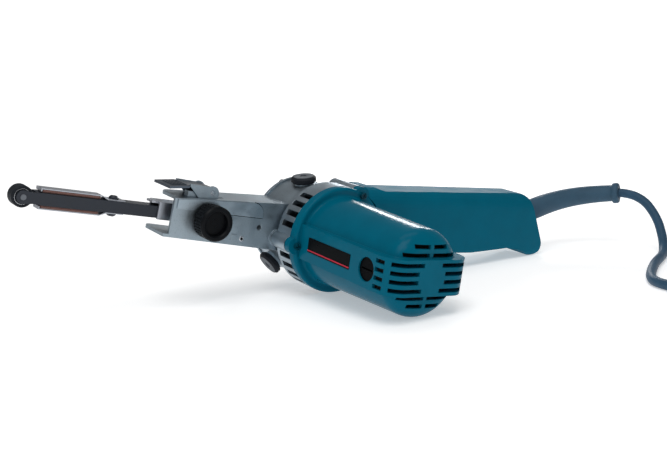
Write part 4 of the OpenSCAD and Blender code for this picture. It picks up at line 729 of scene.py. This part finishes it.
def lathe(name, centre, axes, profile, sides, slot, material=None, smooth=True, body="tool", ring=False):
    """A turned piece or ring: profile pairs of radius and height, about the z of its axes."""
    turn = [2 * math.pi * i / sides for i in range(sides)]
    rings = []
    for r, h in profile:
        points = [Vector((r * math.cos(a), r * math.sin(a), h)) * MM for a in turn]
        rings.append([centre + axes @ p for p in points])
    piece(name, rings_mesh(name, rings, loop=ring, smooth=smooth), slot, body, material)


WALL_Z = 17.5
HOLE_PLACE = (-69.4, -11.2)
PAD_PLACE = (-76.6, -10.6)
# Bright steel ring: painted highlight of the hole's lit lip; dark disc: painted shade inside the hole
WALL_RIM_HIGHLIGHT = [(1.1, -0.3), (1.1, 0.15), (1.4, 0.3), (2.0, 0.15), (2.2, -0.3)]
WALL_HOLE_SHADE = [(1.05, -0.3), (1.05, 0.06), (0.2, 0.02)]
WALL_PAD = [(3.4, -0.3), (3.4, 0.2), (3.0, 0.45), (0.2, 0.45)]
HOLE_SIDES = 24
PAD_SIDES = 4


def make_head_trim():
    """A small blind hole, its dark disc painted shade and its bright ring a painted highlight of the lit lip,
    and a low square cast pad beside it, on the head's near wall.
    """
    hole = at_head(*HOLE_PLACE, WALL_Z)
    lathe("wall_rim_highlight", hole, HEAD_AXES, WALL_RIM_HIGHLIGHT, HOLE_SIDES, "steel", ring=True)
    lathe("wall_hole_shade", hole, HEAD_AXES, WALL_HOLE_SHADE, HOLE_SIDES, "cast_alloy", "painted_shade")
    turn = HEAD_AXES @ Matrix.Rotation(math.pi / 4, 3, "Z")
    lathe("wall_pad", at_head(*PAD_PLACE, WALL_Z), turn, WALL_PAD, PAD_SIDES, "cast_alloy", smooth=False)


ROLLER_X = -235.0
ROLLER_HALF_W = 4.6
RING_DEPTH = 0.4
RING_SIDES = 48
ROLLER_RING = [(5.08, -0.4), (5.08, 0.1), (5.25, 0.25), (5.45, 0.25), (5.6, 0.1), (5.6, -0.4)]


def make_roller_rings():
    """A bright ring in the groove of each side of the front roller."""
    for name, side in (("near", 1.0), ("far", -1.0)):
        axes = HEAD_AXES @ Matrix.Rotation(0.0 if side > 0 else math.pi, 3, "X")
        centre = at_head(ROLLER_X, 0.0, side * (ROLLER_HALF_W - RING_DEPTH))
        lathe(name + "_roller_ring", centre, axes, ROLLER_RING, RING_SIDES, "steel", body="roller", ring=True)


BUMPERS = {"top": (18.0, 43.02), "low": (138.0, 44.42)}
BUMPER_SIDES = 40
BUMPER_FACE = [(2.4, -0.3), (2.6, 0.12), (7.6, 0.12), (8.2, -0.1), (8.2, -0.4)]


def make_bumper_faces():
    """The bumpers' faces, rubbed grey by the bench."""
    up = Vector((0.0, 0.0, 1.0))
    for name, (angle, reach) in BUMPERS.items():
        a = math.radians(90.0 + angle)
        out = Vector((math.cos(a), math.sin(a), 0.0))
        axes = HEAD_AXES @ Matrix((up.cross(out), up, out)).transposed()
        lathe(name + "_bumper_face", at_head(*(out * reach)), axes, BUMPER_FACE, BUMPER_SIDES,
              "rubber_black", "dusty_rubber")


PANEL_REAR_X = -55.0
PANEL_LOW_Y = 6.2
PANEL_TOP_Y = 16.97
PANEL_CORNER_R = 9.0
# Dark line round the panel: painted shade under its raised edge, along its joint
EDGE_SHADE_FRONT_X = -87.0
EDGE_SHADE_W = 0.6
EDGE_SHADE_START = 0.05
EDGE_SHADE_LOW = -0.2
EDGE_SHADE_HIGH = 0.1
EDGE_SHADE_ARC_STEPS = 10


def make_panel_edge_shade():
    """The dark line round the rear end of the head's cover panel: its joint, drawn dark as painted shade
    under the panel's raised edge.
    """
    border = [((EDGE_SHADE_FRONT_X, PANEL_LOW_Y), (0.0, -1.0)), ((PANEL_REAR_X, PANEL_LOW_Y), (1.0, -1.0))]
    centre = (PANEL_REAR_X - PANEL_CORNER_R, PANEL_TOP_Y - PANEL_CORNER_R)
    for i in range(EDGE_SHADE_ARC_STEPS + 1):
        a = math.pi / 2 * i / EDGE_SHADE_ARC_STEPS
        way = (math.cos(a), math.sin(a))
        border.append(((centre[0] + PANEL_CORNER_R * way[0], centre[1] + PANEL_CORNER_R * way[1]), way))
    corners = ((EDGE_SHADE_START, EDGE_SHADE_LOW), (EDGE_SHADE_START, EDGE_SHADE_HIGH), (EDGE_SHADE_W, EDGE_SHADE_HIGH), (EDGE_SHADE_W, EDGE_SHADE_LOW))
    rings = []
    for (x, y), (nx, ny) in border:
        rings.append([at_head(x + nx * d, y + ny * d, WALL_Z + h) for d, h in corners])
    piece("panel_edge_shade", rings_mesh("panel_edge_shade", rings, smooth=False), "cast_alloy", material="painted_shade")


# Vents: dark strips and a ring, painted shade inside the motor's slots
VENT_PITCH = 6.0
VENT_H = 3.0
VENT_ROWS = (-1.5, -0.5, 0.5, 1.5)
VENT_SHADE_M = (137.2, 145.4)
VENT_SHADE_X = (33.2, 33.8)
SHADE_RING_M = (140.2, 140.7)
SHADE_RING_R = (7.0, 27.4)
SHADE_RING_SIDES = 48


def make_vent_shade_strips():
    """A dark strip in each side slot of the motor: painted shade inside the slots."""
    bm = bmesh.new()
    for side in (-1.0, 1.0):
        for row in VENT_ROWS:
            ends = (row * VENT_PITCH - VENT_H / 2, row * VENT_PITCH + VENT_H / 2)
            for v in bmesh.ops.create_cube(bm, size=1.0)["verts"]:
                v.co = at_motor(side * VENT_SHADE_X[v.co.x > 0], ends[v.co.y > 0], VENT_SHADE_M[v.co.z > 0])
    piece("vent_shade_strips", mesh_of(bm, "vent_shade_strips", smooth=False), "knob_black", material="vent_shade")


def make_vent_shade_ring():
    """A dark ring behind the slots of the motor's end: painted shade inside the slots."""
    (inner, outer), (front, rear) = SHADE_RING_R, SHADE_RING_M
    profile = [(inner, front), (outer, front), (outer, rear), (inner, rear)]
    turn = [2 * math.pi * i / SHADE_RING_SIDES for i in range(SHADE_RING_SIDES)]
    rings = [[at_motor(r * math.cos(a), r * math.sin(a), m) for r, m in profile] for a in turn]
    mesh = rings_mesh("vent_shade_ring", rings, loop=True, smooth=False)
    piece("vent_shade_ring", mesh, "knob_black", material="vent_shade")


# Stage and light
FLOOR_HALF = 5.0
WALL_Y = 4.6
WALL_TOP = 0.58
SWEEP_R = 0.5
SWEEP_STEPS = 16
PAPER = (0.93, 0.93, 0.93, 1.0)
PAPER_ROUGH = 0.9
PAPER_SHINE = 0.1
GLOW_NEAR = 0.36
GLOW_FAR = 0.75
GLOW_REACH = 1.6
WHITE = (1.0, 1.0, 1.0, 1.0)
WORLD_STRENGTH = 0.25
# Each lamp's place, target, width, height and power
LAMPS = {
    "key": ((-0.5, -0.5, 1.3), (0.0, 0.0, 0.05), 0.8, 0.8, 9.0),
    "back_strip": ((0.874, 0.808, 0.52), (-0.04, -0.03, 0.07), 0.40, 0.13, 3.5),
    "overhead": ((0.10, 0.20, 1.3), (-0.04, 0.0, 0.05), 0.9, 0.5, 2.0),
}


def paper():
    """Plain pale paper, which glows more the further away it is."""
    mat = bpy.data.materials.new("studio_paper")
    mat.use_nodes = True
    nodes, links = mat.node_tree.nodes, mat.node_tree.links
    shader = nodes["Principled BSDF"]
    away = nodes.new("ShaderNodeVectorMath")
    away.operation = "LENGTH"
    links.new(nodes.new("ShaderNodeTexCoord").outputs["Object"], away.inputs[0])
    glow = nodes.new("ShaderNodeMapRange")
    glow.inputs["From Max"].default_value = GLOW_REACH
    glow.inputs["To Min"].default_value = GLOW_NEAR
    glow.inputs["To Max"].default_value = GLOW_FAR
    links.new(away.outputs["Value"], glow.inputs["Value"])
    links.new(glow.outputs["Result"], shader.inputs["Emission Strength"])
    shader.inputs["Base Color"].default_value = PAPER
    shader.inputs["Roughness"].default_value = PAPER_ROUGH
    shader.inputs["Specular IOR Level"].default_value = PAPER_SHINE
    shader.inputs["Emission Color"].default_value = WHITE
    return mat


def make_stage():
    """A pale floor that sweeps up into a low wall, far behind the tool."""
    ahead = Vector((CAMERA_AHEAD.x, CAMERA_AHEAD.y, 0.0)).normalized()
    aside = Vector((ahead.y, -ahead.x, 0.0))
    profile = [(-FLOOR_HALF, 0.0), (WALL_Y, 0.0)]
    for i in range(1, SWEEP_STEPS + 1):
        a = math.pi / 2 * i / SWEEP_STEPS
        profile.append((WALL_Y + SWEEP_R * math.sin(a), SWEEP_R * (1 - math.cos(a))))
    profile.append((WALL_Y + SWEEP_R, WALL_TOP))
    bm = bmesh.new()
    rows = []
    for d, z in profile:
        middle = ahead * d + Vector((0, 0, z))
        rows.append([bm.verts.new(middle + aside * s) for s in (-FLOOR_HALF, FLOOR_HALF)])
    for a, b in zip(rows, rows[1:]):
        bm.faces.new((a[0], a[1], b[1], b[0]))
    mesh = mesh_of(bm, "studio_floor")
    mesh.materials.append(paper())
    floor = bpy.data.objects.new("studio_floor", mesh)
    bpy.context.scene.collection.objects.link(floor)


def area_light(name, place, target, width, height, power):
    data = bpy.data.lights.new(name, "AREA")
    data.energy = power
    data.shape = "RECTANGLE"
    data.size = width
    data.size_y = height
    lamp = bpy.data.objects.new(name, data)
    bpy.context.scene.collection.objects.link(lamp)
    way = Vector(target) - Vector(place)
    lamp.matrix_world = Matrix.Translation(place) @ way.to_track_quat("-Z", "Y").to_matrix().to_4x4()


def make_light():
    """Soft studio light: a dim white world and three area lamps."""
    world = bpy.data.worlds.new("studio")
    world.use_nodes = True
    background = world.node_tree.nodes["Background"]
    background.inputs["Color"].default_value = WHITE
    background.inputs["Strength"].default_value = WORLD_STRENGTH
    bpy.context.scene.world = world
    for name, values in LAMPS.items():
        area_light(name, *values)
    bpy.context.scene.view_settings.view_transform = "Standard"


make_camera()
make_cord()
dress_nodes()
make_guard()
make_tie()
make_spring()
make_pads()
make_label()
make_head_trim()
make_roller_rings()
make_bumper_faces()
make_panel_edge_shade()
make_vent_shade_strips()
make_vent_shade_ring()
make_stage()
make_light()
